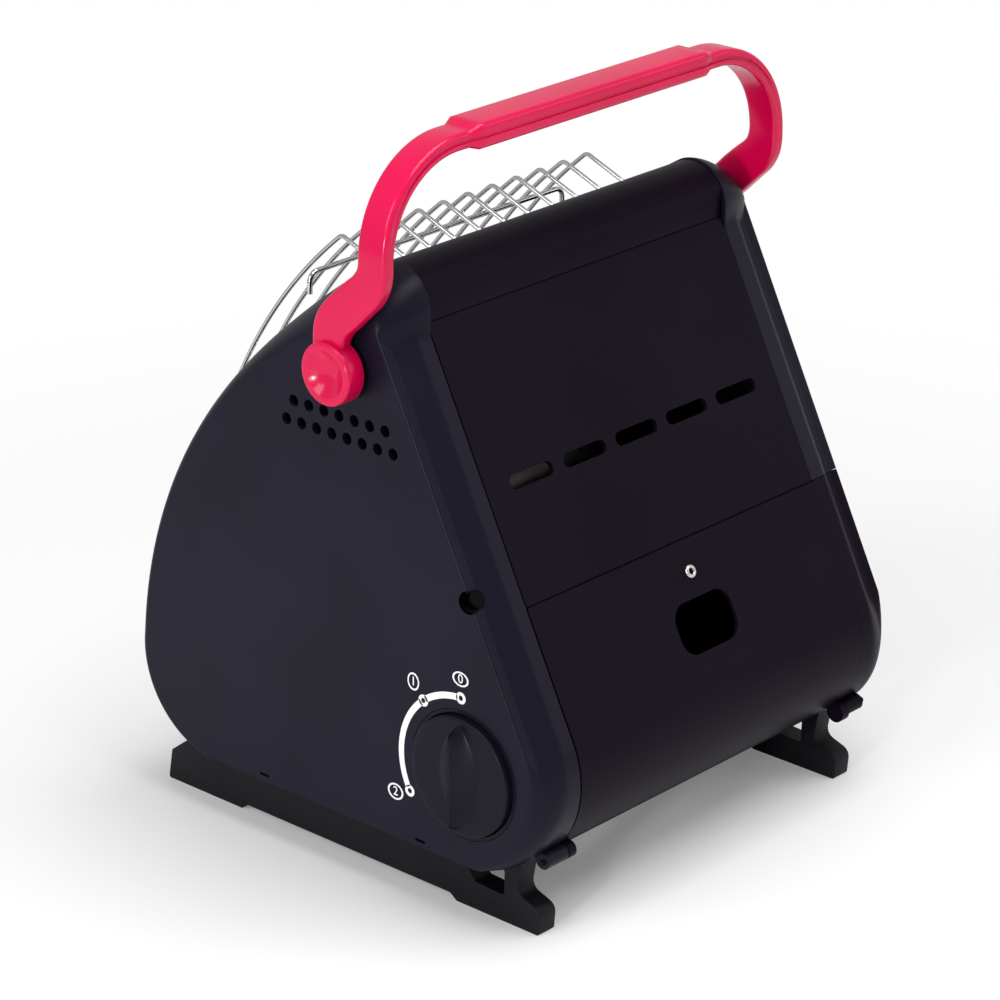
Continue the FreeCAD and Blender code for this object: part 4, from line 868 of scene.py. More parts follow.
@dataclass
class EndCap:
    """A deep moulded cap with a shoulder that is wide at the top and tight along the rear.

    A drop is how far a stretch of the outline falls in towards the face, and a reach is the share
    of the cap's depth over which it falls. Samples are the points on each of the outline's runs.
    """

    side: Side
    half_width: float = 129.0
    depth: float = 26.0
    wall: float = 2.4
    shoulder_round: float = 12.5
    shoulder_sink: float = 9.2
    shoulder_shift: float = 3.0
    shoulder_ellipse: float = 0.55
    shoulder_power: float = 1.3
    brow_drop: float = 6.5
    brow_reach: float = 0.5
    brow_bulge: float = 4.4
    jaw_drop: float = 4.0
    jaw_reach: float = 0.25
    hip_drop: float = 11.0
    hip_reach: float = 0.55
    hip_shift: float = 0.6
    lip_drop: float = 5.0
    lip_flat: float = 0.65
    lip_valley: float = 0.23
    lip_dip: float = 0.2
    least_slope: float = 1.5
    seam_rim: float = 0.45
    rim: float = 1.3
    face_ring: float = 1.2
    stations: int = 34
    spacing: float = 1.9
    samples: tuple[int, ...] = (70, 22, 3, 40, 34, 30, 24)
    cut_room: tuple[float, float] = (1.5, 2.0)
    knob_hole: float = 32.0
    vent_radius: float = 2.9
    vent_rows: tuple[int, ...] = (7, 8)
    vent_first: tuple[float, float] = (-21.9, 230.6)
    vent_pitch: tuple[float, float] = (9.58, 9.8)
    dash_half: tuple[float, float] = (3.2, 0.7)
    dash_round: float = 0.65
    dashes: Profile = ((-47.0, 33.4), (55.0, 33.2))
    recess: tuple[float, float] = (86.4, 162.2)
    recess_way: tuple[float, float, float] = (0.86, 0.457, 0.227)
    recess_bore: Profile = ((-12.0, 4.7), (4.0, 4.7))
    cup: Profile = ((-12.2, 0.02), (-12.2, 5.6), (2.0, 5.6), (2.0, 4.7), (-11.0, 4.7),
                    (-11.0, 0.02))
    screw: tuple[float, float] = (85.6, 160.4)
    screw_turned: Profile = ((103.1, 1.5), (112.1, 1.5), (112.2, 3.2), (113.4, 3.0), (114.0, 1.8))
    post: Profile = ((103.1, 4.4), (112.0, 4.4), (112.0, 1.6), (103.1, 1.6))
    # A dark sheet behind the vents, put there as painted shade.
    baffle_middle: tuple[float, float] = (-34.0, 222.0)
    baffle_half: tuple[float, float] = (20.0, 18.0)
    baffle_round: float = 3.0
    baffle_x: tuple[float, float] = (112.0, 113.2)
    knuckle: tuple[float, float] = (103.0, 117.0)
    door_x: tuple[float, float] = (-145.0, -95.0)
    door_gap: float = 0.4
    door_reach: tuple[float, float] = (70.0, 72.0)

    def _fallen(self, depth: Array, reach: float) -> Array:
        """Quarter ellipse: 1 less the root of 1 less the square of the share still to go."""
        share = np.clip(1 - depth / reach, 0, 1)
        return 1 - np.sqrt(1 - share**2)

    def _lip(self, depth: Array) -> Array:
        """Rear border's fall: flat, then a soft valley, then up again to the crisp rim.

        Between the flat and the valley it is half a ramp and half a smooth step.

        Args:
            depth: Depths in from the face.

        Returns:
            The fall at each depth.
        """
        flat, valley = self.depth * self.lip_flat, self.depth * self.lip_valley
        share = np.clip((flat - depth) / (flat - valley), 0, 1)
        eased = 0.5 * share + 0.5 * share**2 * (3 - 2 * share)
        rising = 1 + self.lip_dip * np.clip(depth / valley, 0, 1)
        return self.lip_drop * np.where(depth < valley, rising, (1 + self.lip_dip) * eased)

    def outlines(self, depth: Array, inset: float) -> Array:
        """The cap's outline at each depth in from its face.

        Seven runs follow each other: the front's great arc, the ridge's arc, the slope, its lower
        stretch, the roll's arc, the floor and the chin's arc, each moved in by its own fall at
        that depth.

        Args:
            depth: Depths in from the face.
            inset: Even inset, for the inner skin.

        Returns:
            The outlines' points, as (stack, places, 2).
        """
        lean, n = math.radians(CASE.lean), CASE.outward
        front, roll, chin = np.array(CASE.front), np.array(CASE.roll), CASE.chin
        ridge_y, ridge_z = CASE.ridge
        floor = roll[1] - CASE.chin_radius + inset
        rim = self.rim * self._fallen(depth, self.rim)
        top = (self.shoulder_ellipse * self._fallen(depth, self.depth)
               + (1 - self.shoulder_ellipse)
               * np.clip(1 - depth / self.depth, 0, 1) ** self.shoulder_power)
        ridge = np.stack([ridge_y + self.shoulder_shift * top,
                          ridge_z - self.shoulder_sink * top], -1)
        ridge_round = CASE.ridge_radius - self.shoulder_round * top - inset
        brow, jaw, hip = (drop * self._fallen(depth, self.depth * reach) + inset
                          for drop, reach in ((self.brow_drop, self.brow_reach),
                                              (self.jaw_drop, self.jaw_reach),
                                              (self.hip_drop, self.hip_reach)))
        brow = brow - self.brow_bulge
        lip = self._lip(depth) + rim + inset

        def on(centre: Array, radius: Array, angle: Any) -> Array:
            """Points at an angle on circles."""
            angle = np.broadcast_to(angle, radius.shape)
            return centre + radius[:, None] * np.stack([np.cos(angle), np.sin(angle)], -1)

        high = CASE.ridge_angle
        low = math.atan2(chin[1] - front[1], chin[0] - front[0])
        rear_angle = lean * top
        front_top, rear_top = on(ridge, ridge_round, high), on(ridge, ridge_round, rear_angle)
        plane = float(roll @ n) + CASE.roll_radius - lip
        slope_z = np.minimum((plane - rear_top[:, 0] * n[0]) / n[1],
                             rear_top[:, 1] - self.least_slope)
        slope_top = np.stack([(plane - slope_z * n[1]) / n[0], slope_z], -1)
        front_low = on(front, CASE.front_radius - jaw, low)
        roll_floor_y = (roll[0] + math.sqrt(CASE.roll_radius**2 - CASE.chin_radius**2)
                        - hip * self.hip_shift)
        roll_floor = np.stack([roll_floor_y, np.full_like(roll_floor_y, floor)], -1)
        roll_top = roll + (CASE.roll_radius - lip)[:, None] * n
        roll_low = np.arctan2(roll_floor[:, 1] - roll[1], roll_floor[:, 0] - roll[0])
        chin_floor = np.broadcast_to([chin[0], floor], roll_floor.shape)
        front_middle = on(front, CASE.front_radius - brow, (high + low) / 2)
        ridge_middle = on(ridge, ridge_round, (high + rear_angle) / 2)
        roll_middle = on(roll, CASE.roll_radius - hip, (lean + roll_low) / 2)
        chin_middle = on(chin, CASE.chin_radius - jaw, (low + math.pi * 3.5) / 2 - math.pi)
        count = self.samples
        runs = [
            arc_points(front_low, front_middle, front_top, count[0]),
            arc_points(front_top, ridge_middle, rear_top, count[1]),
            line_points(rear_top, slope_top, count[2]),
            line_points(slope_top, roll_top, count[3]),
            arc_points(roll_top, roll_middle, roll_floor, count[4]),
            line_points(roll_floor, chin_floor, count[5]),
            arc_points(chin_floor, chin_middle, front_low, count[6]),
        ]
        return np.concatenate([run[:, :-1] for run in runs], axis=1)

    def _stacked(self, x: Array, outlines: Array) -> Array:
        """Outlines with their X in front, as (stack, places, 3)."""
        spread = np.broadcast_to(x[:, None, None], (*outlines.shape[:2], 1))
        return np.concatenate([spread, outlines], -1)

    def _skin(self) -> Shell:
        """Inner skin from the face to the seam, then the outer one back.

        Returns:
            The cap's wall, with both of its faces filled.
        """
        depth = self.depth * np.linspace(0, 1, self.stations // 2) ** self.spacing
        inner_x = np.maximum(self.half_width - self.wall - depth, self.half_width - self.depth)
        inner = self._stacked(inner_x, self.outlines(depth, self.wall))
        return loft(np.concatenate([inner, self._outer_rings()]))

    def _outer_rings(self) -> Array:
        """Outer rings from the seam to the face, and one more just inside the face's edge.

        Returns:
            The rings, as (stack, places, 3).
        """
        depth = self.depth * np.linspace(1, 0, self.stations) ** self.spacing
        depth[0] -= self.seam_rim
        outer = self.outlines(depth, 0.0)
        face = outer[-1:] + inward_normals(outer[-1]) * self.face_ring
        seam = outer[:1] + inward_normals(outer[0]) * self.seam_rim
        x = np.concatenate([[self.half_width - self.depth], self.half_width - depth,
                            [self.half_width]])
        return self._stacked(x, np.concatenate([seam, outer, face]))

    def _own(self, shell: Shell) -> Shell:
        """A skin made on the knob's side, brought to this cap's side."""
        return shell if self.side is Side.RIGHT else shell.mirrored()

    def _in_recess(self, profile: Profile) -> Shell:
        """A form turned about the tilted recess of the near cap's screw."""
        return aimed(lathe(profile, (0.0, 0.0), 40), (self.half_width, *self.recess),
                     self.recess_way)

    def _openings(self) -> Shell:
        """Cutters for the vents, the dashes near the floor, the screw's recess and the knob.

        Returns:
            The cutters, which don't touch each other.
        """
        low = self.half_width - self.wall - self.cut_room[0]
        high = self.half_width + self.cut_room[1]
        cuts = []
        for row, count in enumerate(self.vent_rows):
            for index in range(count):
                centre = (self.vent_first[0] + (index - row / 2) * self.vent_pitch[0],
                          self.vent_first[1] - self.vent_pitch[1] * row)
                cuts.append(lathe([(low, self.vent_radius), (high, self.vent_radius)], centre, 28))
        if self.side is Side.RIGHT:
            cuts.append(self._in_recess(self.recess_bore))
        cuts += [prism(rounded_rectangle(middle, self.dash_half, self.dash_round, 4), low, high)
                 for middle in self.dashes]
        if self.side is Side.RIGHT:
            cuts.append(lathe([(low, self.knob_hole), (high, self.knob_hole)], CASE.roll, 96))
        return joined(cuts)

    def _behind(self) -> Shell:
        """The screw's cup or post, and a dark sheet behind the vents that stands in for the shade
        inside the casing.

        Returns:
            Both in one skin.
        """
        if self.side is Side.RIGHT:
            post = self._in_recess(self.cup)
        else:
            post = turned_ring(self.post, self.screw)
        outline = rounded_rectangle(self.baffle_middle, self.baffle_half, self.baffle_round)
        return joined([post, prism(outline, *self.baffle_x)])

    def _give_to_door(self, cap: bpy.types.Object, skin: Shell) -> None:
        """Part the far cap: the door takes its share, and a thin gap is left round it.

        Args:
            cap: The cap, which loses the door's share.
            skin: The cap's skin, before anything is cut.
        """
        far = piece("door_far_end", skin, Body.DOOR)
        for target, gap, reach, operation in ((far, 0.0, self.door_reach[0], "INTERSECT"),
                                              (cap, self.door_gap, self.door_reach[1],
                                               "DIFFERENCE")):
            carve(target, CASE.block(self.door_x, (-CASE.door_top - gap, reach),
                                     (CASE.door_cavity - gap, reach)), operation)
        dress(far, COATED_SHEET)

    def build(self) -> None:
        """Make the cap, what is behind it, its screw and, near the knob, its hinge barrel."""
        side = self.side.name.lower()
        node, screw_node = f"side_panel_{side}", f"cap_screw_{side}"
        skin = self._own(self._skin())
        cap = piece(node + "_skin", skin, Body.CASING, [node])
        if self.side is Side.LEFT:
            self._give_to_door(cap, skin)
        carve(cap, self._own(self._openings()))
        dress(cap, SATIN_SIDE)
        behind = piece(node + "_post", self._own(self._behind()), Body.CASING)
        carve(behind, self._own(loft(self._outer_rings())), "INTERSECT")
        # Dressed dark: the sheet behind the vents is painted shade, and the post and the cup share
        # its dark steel.
        dress(behind, DARK_STEEL_AND_SHADE)
        screw = self._own(lathe(self.screw_turned, self.screw, 30))
        dress(piece(screw_node + "_seated", screw, Body.CASING, [screw_node]), ZINC)
        if self.side is Side.RIGHT:
            barrel = HINGE.barrel(*self.knuckle)
            dress(piece("cap_knuckle", barrel, Body.CASING), SATIN_SIDE)


@dataclass
class RearDoor:
    """The door's skin over the slope and the roll, its finger hole, rivet and knuckles."""

    skin: float = 2.0
    x: tuple[float, float] = (-103.2, 102.4)
    top_edges: tuple[float, float] = (0.5, 0.2)
    finger: tuple[float, float] = (-3.0, -23.5)
    finger_half: tuple[float, float] = (20.0, 12.5)
    finger_round: float = 9.0
    finger_cut: tuple[float, float] = (3.0, -6.0)
    knuckles: Profile = ((97.5, 102.6), (-115.5, -103.0))
    rivet_down: float = -48.3
    rivet: Profile = ((-2.0, 1.5), (1.0, 1.5), (1.5, 1.7), (1.7, 2.2), (1.6, 2.8), (1.2, 3.2),
                      (0.6, 3.4), (0.05, 3.4), (0.05, 2.1), (-2.0, 2.1))

    def _profile(self) -> Array:
        """Section of the skin: the slope's line, the roll's arc, and back on the inner side.

        Returns:
            A closed outline, as (places, 2).
        """
        end = math.acos(CASE.door_cavity / CASE.roll_radius)
        runs = []
        for radius, edge in zip((CASE.roll_radius, CASE.roll_radius - self.skin), self.top_edges):
            angle = np.linspace(0, end, 56)
            line = CASE.point(np.linspace(-CASE.door_top + edge, -1, 30), np.full(30, radius))
            arc = CASE.point(np.sin(angle) * radius, np.cos(angle) * radius)
            runs.append(np.concatenate([line, arc]))
        lip = CASE.point(np.array([-CASE.door_top]),
                         np.array([CASE.roll_radius - self.top_edges[0]]))
        return np.concatenate([lip, runs[0], runs[1][::-1]])

    def _finger_block(self) -> Shell:
        """Cutter for the finger hole: a rounded rectangle in the slope, along its normal.

        Returns:
            A closed block.
        """
        flat = rounded_rectangle(self.finger, self.finger_half, self.finger_round, 10)
        rings = []
        for out in self.finger_cut:
            yz = CASE.point(flat[:, 1], np.full(len(flat), CASE.roll_radius + out))
            rings.append(np.concatenate([flat[:, :1], yz], -1))
        return loft(np.stack(rings))

    def build(self) -> None:
        """Make the door's skin, its knuckles and its rivet."""
        door = piece("door_skin", prism(self._profile(), *self.x), Body.DOOR,
                     ["door"])
        carve(door, self._finger_block())
        dress(door, COATED_SHEET)
        for index, ends in enumerate(self.knuckles):
            barrel = HINGE.barrel(*ends)
            dress(piece(f"door_knuckle_{index}", barrel, Body.DOOR), COATED_SHEET)
        self._build_rivet()

    def _build_rivet(self) -> None:
        """Make the tubular rivet: a rolled rim round a bore, turned about the slope's normal."""
        seat = CASE.point(np.array(self.rivet_down), np.array(CASE.roll_radius))
        rivet = aimed(turned_ring(self.rivet, (0.0, 0.0), 40), (self.finger[0], *seat),
                      (0.0, *CASE.outward))
        dress(piece("rivet_ring", rivet, Body.DOOR, ["door_rivet"]), CHROME, 50)


@dataclass
class TopCover:
    """The sheet over the ridge, flush with the caps but for a thin step."""

    step: float = 0.8
    sheet: float = 2.0
    half_width: float = 102.6
    panel_top: float = 198.0
    lip_y: float = -11.5

    def _profile(self) -> Array:
        """Section: the front curve, the ridge and the slope, then back along the inner side.

        Returns:
            A closed outline, as (places, 2).
        """
        front = np.array(CASE.front)
        sides = []
        for inset in (self.step, self.step + self.sheet):
            reach = CASE.front_radius - inset
            start = math.pi - math.acos((front[0] - self.lip_y) / reach)
            angle = np.linspace(start, CASE.ridge_angle, 8)
            curve = front + reach * np.stack([np.cos(angle), np.sin(angle)], -1)
            angle = np.linspace(CASE.ridge_angle, math.radians(CASE.lean), 26)
            ridge = CASE.ridge + (CASE.ridge_radius - inset) * np.stack(
                [np.cos(angle), np.sin(angle)], -1)
            foot = CASE.point(np.array([-self.panel_top]), np.array([CASE.roll_radius - inset]))
            sides.append(np.concatenate([curve[:-1], ridge, foot]))
        return np.concatenate([sides[0], sides[1][::-1]])

    def build(self) -> None:
        """Make the cover."""
        cover = piece("cover_skin", prism(self._profile(), -self.half_width, self.half_width),
                      Body.CASING, ["top_cover"])
        dress(cover, COATED_SHEET)


@dataclass
class Skid:
    """A moulded skid that cups the chin and the roll, with softened edges.

    The corners of the sole, the toe and the window are Y, Z and a radius each.
    """

    side: Side
    outer: float = 115.0
    thickness: float = 11.0
    edge: float = 0.3
    sole: Corners = ((-129.5, 0.0, 1.2), (-78.0, 0.0, 1.5), (-74.0, 3.0, 2.0), (60.6, 3.0, 2.0),
                     (64.6, 0.0, 1.5), (115.7, 0.0, 1.2), (117.0, 12.5, 5.0), (102.3, 17.5, 5.0))
    toe: Corners = ((-117.0, 31.0, 1.0), (-115.5, 24.6, 1.5), (-126.7, 16.0, 1.2))
    window: Corners = ((68.5, 25.0, 1.2), (76.5, 14.4, 1.5), (94.6, 13.6, 1.5), (95.0, 27.0, 1.5))
    window_room: float = 2.0
    seat_ends: tuple[float, float] = (105.5, -113.0)

    def _seat(self, centre: Sequence[float], radius: float, start: float, end: float
              ) -> list[tuple[float, float, float]]:
        """Points of a seat: the lower side of a circle between two places along Y.

        Args:
            centre: Y and Z of the circle's centre.
            radius: Its radius.
            start: First Y.
            end: Last Y.

        Returns:
            Corners without a radius.
        """
        return [(y, centre[1] - math.sqrt(radius**2 - (y - centre[0]) ** 2), 0.0)
                for y in np.linspace(start, end, 14)]

    def _outline(self) -> Array:
        """Side outline: the sole and the heel, the roll's seat, the chin's seat and the toe.

        Returns:
            Points of a closed outline, as (places, 2).
        """
        roll_floor = CASE.roll[0] + math.sqrt(CASE.roll_radius**2 - CASE.chin_radius**2)
        heel, front = self.seat_ends
        corners = [*self.sole, *self._seat(CASE.roll, CASE.roll_radius, heel, roll_floor),
                   *self._seat(CASE.chin, CASE.chin_radius, CASE.chin[0], front), *self.toe]
        return rounded_outline(corners, 5)

    def build(self) -> None:
        """Make the skid and cut its window."""
        inner = self.outer - self.thickness
        block = prism(self._outline(), inner, self.outer, self.edge)
        window = prism(rounded_outline(self.window, 5), inner - self.window_room,
                       self.outer + self.window_room)
        if self.side is Side.LEFT:
            block, window = block.mirrored(), window.mirrored()
        node = f"stand_{self.side.name.lower()}"
        skid = piece(node + "_skid", block, Body.CASING, [node])
        carve(skid, window)
        dress(skid, SKID_PLASTIC)


@dataclass
class ControlKnob:
    """The knob: a turned disc with a lens-shaped grip whose flanks meet in a crest."""

    start: float = 117.6
    face: float = 132.6
    radius: float = 29.4
    rim: float = 1.3
    grip_length: float = 53.0
    grip_width: float = 23.0
    grip_rise: float = 6.4
    crest_length: float = 47.0
    crest_width: float = 1.2
    back_edge: float = 0.4
    foot_flare: float = 1.02
    foot_rise: float = 0.15
    taper: float = 1.15
    places: int = 120

    def _lens(self, length: float, width: float) -> Array:
        """Two equal arcs between a top and a bottom point.

        Their radius is the sum of the squares of length and width, over four times the width.

        Args:
            length: From point to point.
            width: Across the middle.

        Returns:
            The lens, as (places, 2).
        """
        radius = (length**2 + width**2) / (4 * width)
        half = math.asin(length / 2 / radius)
        angle = np.linspace(-half, half, self.places // 2, endpoint=False)
        arc = np.stack([radius * np.cos(angle) - (radius - width / 2), radius * np.sin(angle)], -1)
        return np.concatenate([arc, -arc])

    def build(self) -> None:
        """Make the knob as a stack of rings: back, rim, face, the grip's foot and its crest."""
        foot = self._lens(self.grip_length, self.grip_width)
        angle = np.arctan2(foot[:, 1], foot[:, 0])
        circle = np.stack([np.cos(angle), np.sin(angle)], -1)
        rows = [(self.start, circle * (self.radius - self.back_edge)),
                (self.start + self.back_edge, circle * self.radius)]
        rows += [(self.face - self.rim * (1 - math.sin(turn)),
                  circle * (self.radius - self.rim * (1 - math.cos(turn))))
                 for turn in np.linspace(0, np.pi / 2, 6)]
        inner, flared = self.radius - self.rim, foot * self.foot_flare
        rows += [(self.face, circle * inner * (1 - t) + flared * t)
                 for t in np.linspace(0, 1, 5)[1:-1]]
        rows += [(self.face, flared), (self.face + self.foot_rise, foot)]
        for t in np.linspace(0.12, 1, 8):
            section = self._lens(self.grip_length * (1 - t) + self.crest_length * t,
                                 self.grip_width * (1 - t) ** self.taper + self.crest_width * t)
            rows.append((self.face + self.foot_rise + (self.grip_rise - self.foot_rise) * t,
                         section))
        axis = np.array(CASE.roll)
        rings = np.stack([np.concatenate([np.full((len(ring), 1), x), axis + ring], -1)
                          for x, ring in rows])
        knob = piece("knob_grip", loft(rings), Body.KNOB, ["knob"])
        dress(knob, KNOB_PLASTIC, 22)


@dataclass
class ReturnSpring:
    """The knob's return spring: a coil that is pressed together as the knob goes in."""

    wire: float = 0.3
    turns: int = 3
    travel: float = 3.0

    def build(self) -> None:
        """Wind the coil between the solid's two ends.

        A point of the coil at angle a is (low + rise * a, y + r cos a, z + r sin a).
        """
        low, high = (np.array(corner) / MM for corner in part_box("knob_spring"))
        radius = (high[1] - low[1]) / 2 - self.wire
        angle = np.linspace(0, 2 * np.pi * self.turns, 40 * self.turns)
        x = np.linspace(low[0] + self.wire, high[0] - self.wire, len(angle))
        path = np.stack([x, CASE.roll[0] + radius * np.cos(angle),
                         CASE.roll[1] + radius * np.sin(angle)], -1)
        coil = piece("return_spring", tube(path, self.wire, np.array([1.0, 0.0, 0.0]), 10),
                     Body.CASING, ["knob_spring"])
        dress(coil, ZINC)
        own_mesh(coil)


@dataclass
class DialMarks:
    """The printed dial: an arc with rings at its ends and plain numbered ovals beside it."""

    face: float = 129.0
    sink: float = 0.05
    lift: float = 0.12
    centre: tuple[float, float] = (81.8, 76.0)
    radius: float = 38.0
    width: float = 3.2
    sweep: tuple[float, float] = (91.0, 210.0)
    middle_mark: float = 129.0
    middle_gap: float = 2.6
    end_gap: float = 3.2
    ring: tuple[float, float] = (2.9, 1.3)
    ovals: tuple[tuple[float, float, float, float], ...] = (
        (91.0, 47.3, 4.9, 3.6), (129.0, 47.8, 3.6, 4.4), (208.0, 47.6, 4.9, 4.1))
    oval_inner: float = 0.8
    number_size: float = 6.4
    number_lift: float = 0.06

    def _strip(self, start: float, end: float) -> Shell:
        """The arc's band as a ladder of four-point rings along it.

        Args:
            start: First angle in degrees.
            end: Last angle in degrees.

        Returns:
            A closed band.
        """
        angle = np.radians(np.linspace(start, end, 90))
        ray = np.stack([np.cos(angle), np.sin(angle)], -1)[:, None]
        reach = np.array([-1, 1, 1, -1])[None, :, None] * self.width / 2 + self.radius
        x = np.repeat([self.face - self.sink, self.face + self.lift], 2)
        yz = np.array(self.centre) + reach * ray
        spread = np.broadcast_to(x[None, :, None], (*yz.shape[:2], 1))
        return loft(np.concatenate([spread, yz], -1))

    def _at(self, angle: float, reach: float) -> Array:
        """YZ at an angle in degrees and a distance about the dial's centre."""
        turn = math.radians(angle)
        return np.array(self.centre) + reach * np.array([math.cos(turn), math.sin(turn)])

    def _ring(self, angle: float) -> Shell:
        """A flat ring at an angle on the arc."""
        (outer, inner), low, high = self.ring, self.face - self.sink, self.face + self.lift
        return turned_ring([(low, inner), (low, outer), (high, outer), (high, inner)],
                           tuple(self._at(angle, self.radius)))

    def _oval(self, middle: Array, half: Sequence[float]) -> Shell:
        """A flat oval border: at angle a it is the middle plus (half y cos a, half z sin a).

        Args:
            middle: YZ of its middle.
            half: Half its width and half its height.

        Returns:
            A closed ring.
        """
        angle = np.linspace(0, 2 * np.pi, 48, endpoint=False)
        ray = np.stack([half[0] * np.cos(angle), half[1] * np.sin(angle)], -1)
        low, high, inner = self.face - self.sink, self.face + self.lift, self.oval_inner
        rings = [np.concatenate([np.full((48, 1), x), middle + ray * scale], -1)
                 for x, scale in ((low, inner), (low, 1), (high, 1), (high, inner))]
        return loft(np.stack(rings), closed=True)

    def build(self) -> None:
        """Make the print: the arc, three rings and three ovals with plain numbers."""
        first, last = self.sweep
        shells = [self._strip(first + self.end_gap, self.middle_mark - self.middle_gap),
                  self._strip(self.middle_mark + self.middle_gap, last - self.end_gap)]
        shells += [self._ring(angle) for angle in (first, self.middle_mark, last)]
        for number, (angle, reach, *half) in enumerate(self.ovals):
            middle = self._at(angle, reach)
            shells.append(self._oval(middle, half))
            self._number(str(number), middle)
        dress(piece("dial_print", joined(shells), Body.CASING), INK)

    def _number(self, text: str, middle: Array) -> None:
        """Set a plain number in an oval, standing up on the cap's face.

        The number's own X, Y and Z become Y, Z and X.

        Args:
            text: The number.
            middle: YZ of the oval's middle.
        """
        curve = bpy.data.curves.new("number", "FONT")
        curve.body, curve.size = text, self.number_size * MM
        curve.align_x, curve.align_y = "CENTER", "CENTER"
        curve.extrude = self.number_lift * MM
        holder = bpy.data.objects.new("number", curve)
        bpy.context.scene.collection.objects.link(holder)
        bpy.context.view_layer.update()
        mesh = bpy.data.meshes.new_from_object(
            holder.evaluated_get(bpy.context.evaluated_depsgraph_get()))
        bpy.data.objects.remove(holder)
        flat = np.zeros(len(mesh.vertices) * 3)
        mesh.vertices.foreach_get("co", flat)
        flat = flat.reshape(-1, 3)
        placed = np.stack([flat[:, 2] + (self.face + self.number_lift) * MM,
                           flat[:, 0] + middle[0] * MM, flat[:, 1] + middle[1] * MM], -1)
        mesh.vertices.foreach_set("co", placed.ravel())
        mesh.update()
        item = bpy.data.objects.new(f"dial_number_{text}", mesh)
        bpy.context.scene.collection.objects.link(item)
        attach(item, Body.CASING.value)
        dress(item, INK)


@dataclass
class WireGuard:
    """Bowed chrome wires hooked into the cover, on three cross rods.

    The wires' route holds Y, Z and a bend's radius. They end at the foot of the opening, whose
    plane leans back from a brow on the cover's front arc.
    """

    count: int = 11
    pitch: float = 17.0
    wire: float = 1.1
    rod: float = 1.3
    rod_half: float = 88.0
    rod_end: float = 0.4
    wire_route: Corners = ((-8.0, 271.0, 0.0), (-8.0, 286.5, 4.0), (-33.0, 296.5, 4.0),
                           (-80.6, 255.7, 275.0), (-136.8, 142.4, 195.0), (-125.4, 66.0, 4.0))
    top_rod_y: float = -51.4
    top_rod_z: tuple[float, float] = (264.5, 274.5)
    top_rod_bend: float = 5.0
    rods: Profile = ((-108.3, 194.0), (-126.3, 96.0))
    lean: float = OPENING_LEAN
    brow_y: float = -12.8
    opening: float = 226.0
    cover_drop: float = 3.8
    cover_round: float = 15.0

    def _foot(self) -> tuple[float, float]:
        """YZ of the opening's foot, down its plane from the brow.

        Returns:
            Y and Z.
        """
        ridge = CASE.ridge - np.array([0.0, self.cover_drop])
        reach = math.dist(CASE.front, ridge) + self.cover_round
        brow_z = CASE.front[1] + math.sqrt(reach**2 - (CASE.front[0] - self.brow_y) ** 2)
        lean = math.radians(self.lean)
        return (self.brow_y - self.opening * math.sin(lean),
                brow_z - self.opening * math.cos(lean))

    def build(self) -> None:
        """Make every wire as a round bar along one flat route, and the rods across them."""
        yz = route([*self.wire_route, (*self._foot(), 0.0)])
        shells = []
        for x in (np.arange(self.count) - (self.count - 1) / 2) * self.pitch:
            path = np.concatenate([np.full((len(yz), 1), x), yz], -1)
            shells.append(tube(path, self.wire, np.array([1.0, 0.0, 0.0])))
        half, end, (low, high) = self.rod_half, self.rod_end, self.top_rod_z
        xz = route([(-half, low, 0), (-half, high, self.top_rod_bend),
                    (half, high, self.top_rod_bend), (half, low, 0)])
        path = np.stack([xz[:, 0], np.full(len(xz), self.top_rod_y), xz[:, 1]], -1)
        shells.append(tube(path, self.rod, np.array([0.0, 1.0, 0.0])))
        for centre in self.rods:
            shells.append(lathe([(-half, self.rod - end), (-half + end, self.rod),
                                 (half - end, self.rod), (half, self.rod - end)], centre, 14))
        guard = piece("guard_wires", joined(shells), Body.CASING, ["guard"])
        dress(guard, CHROME, 45)


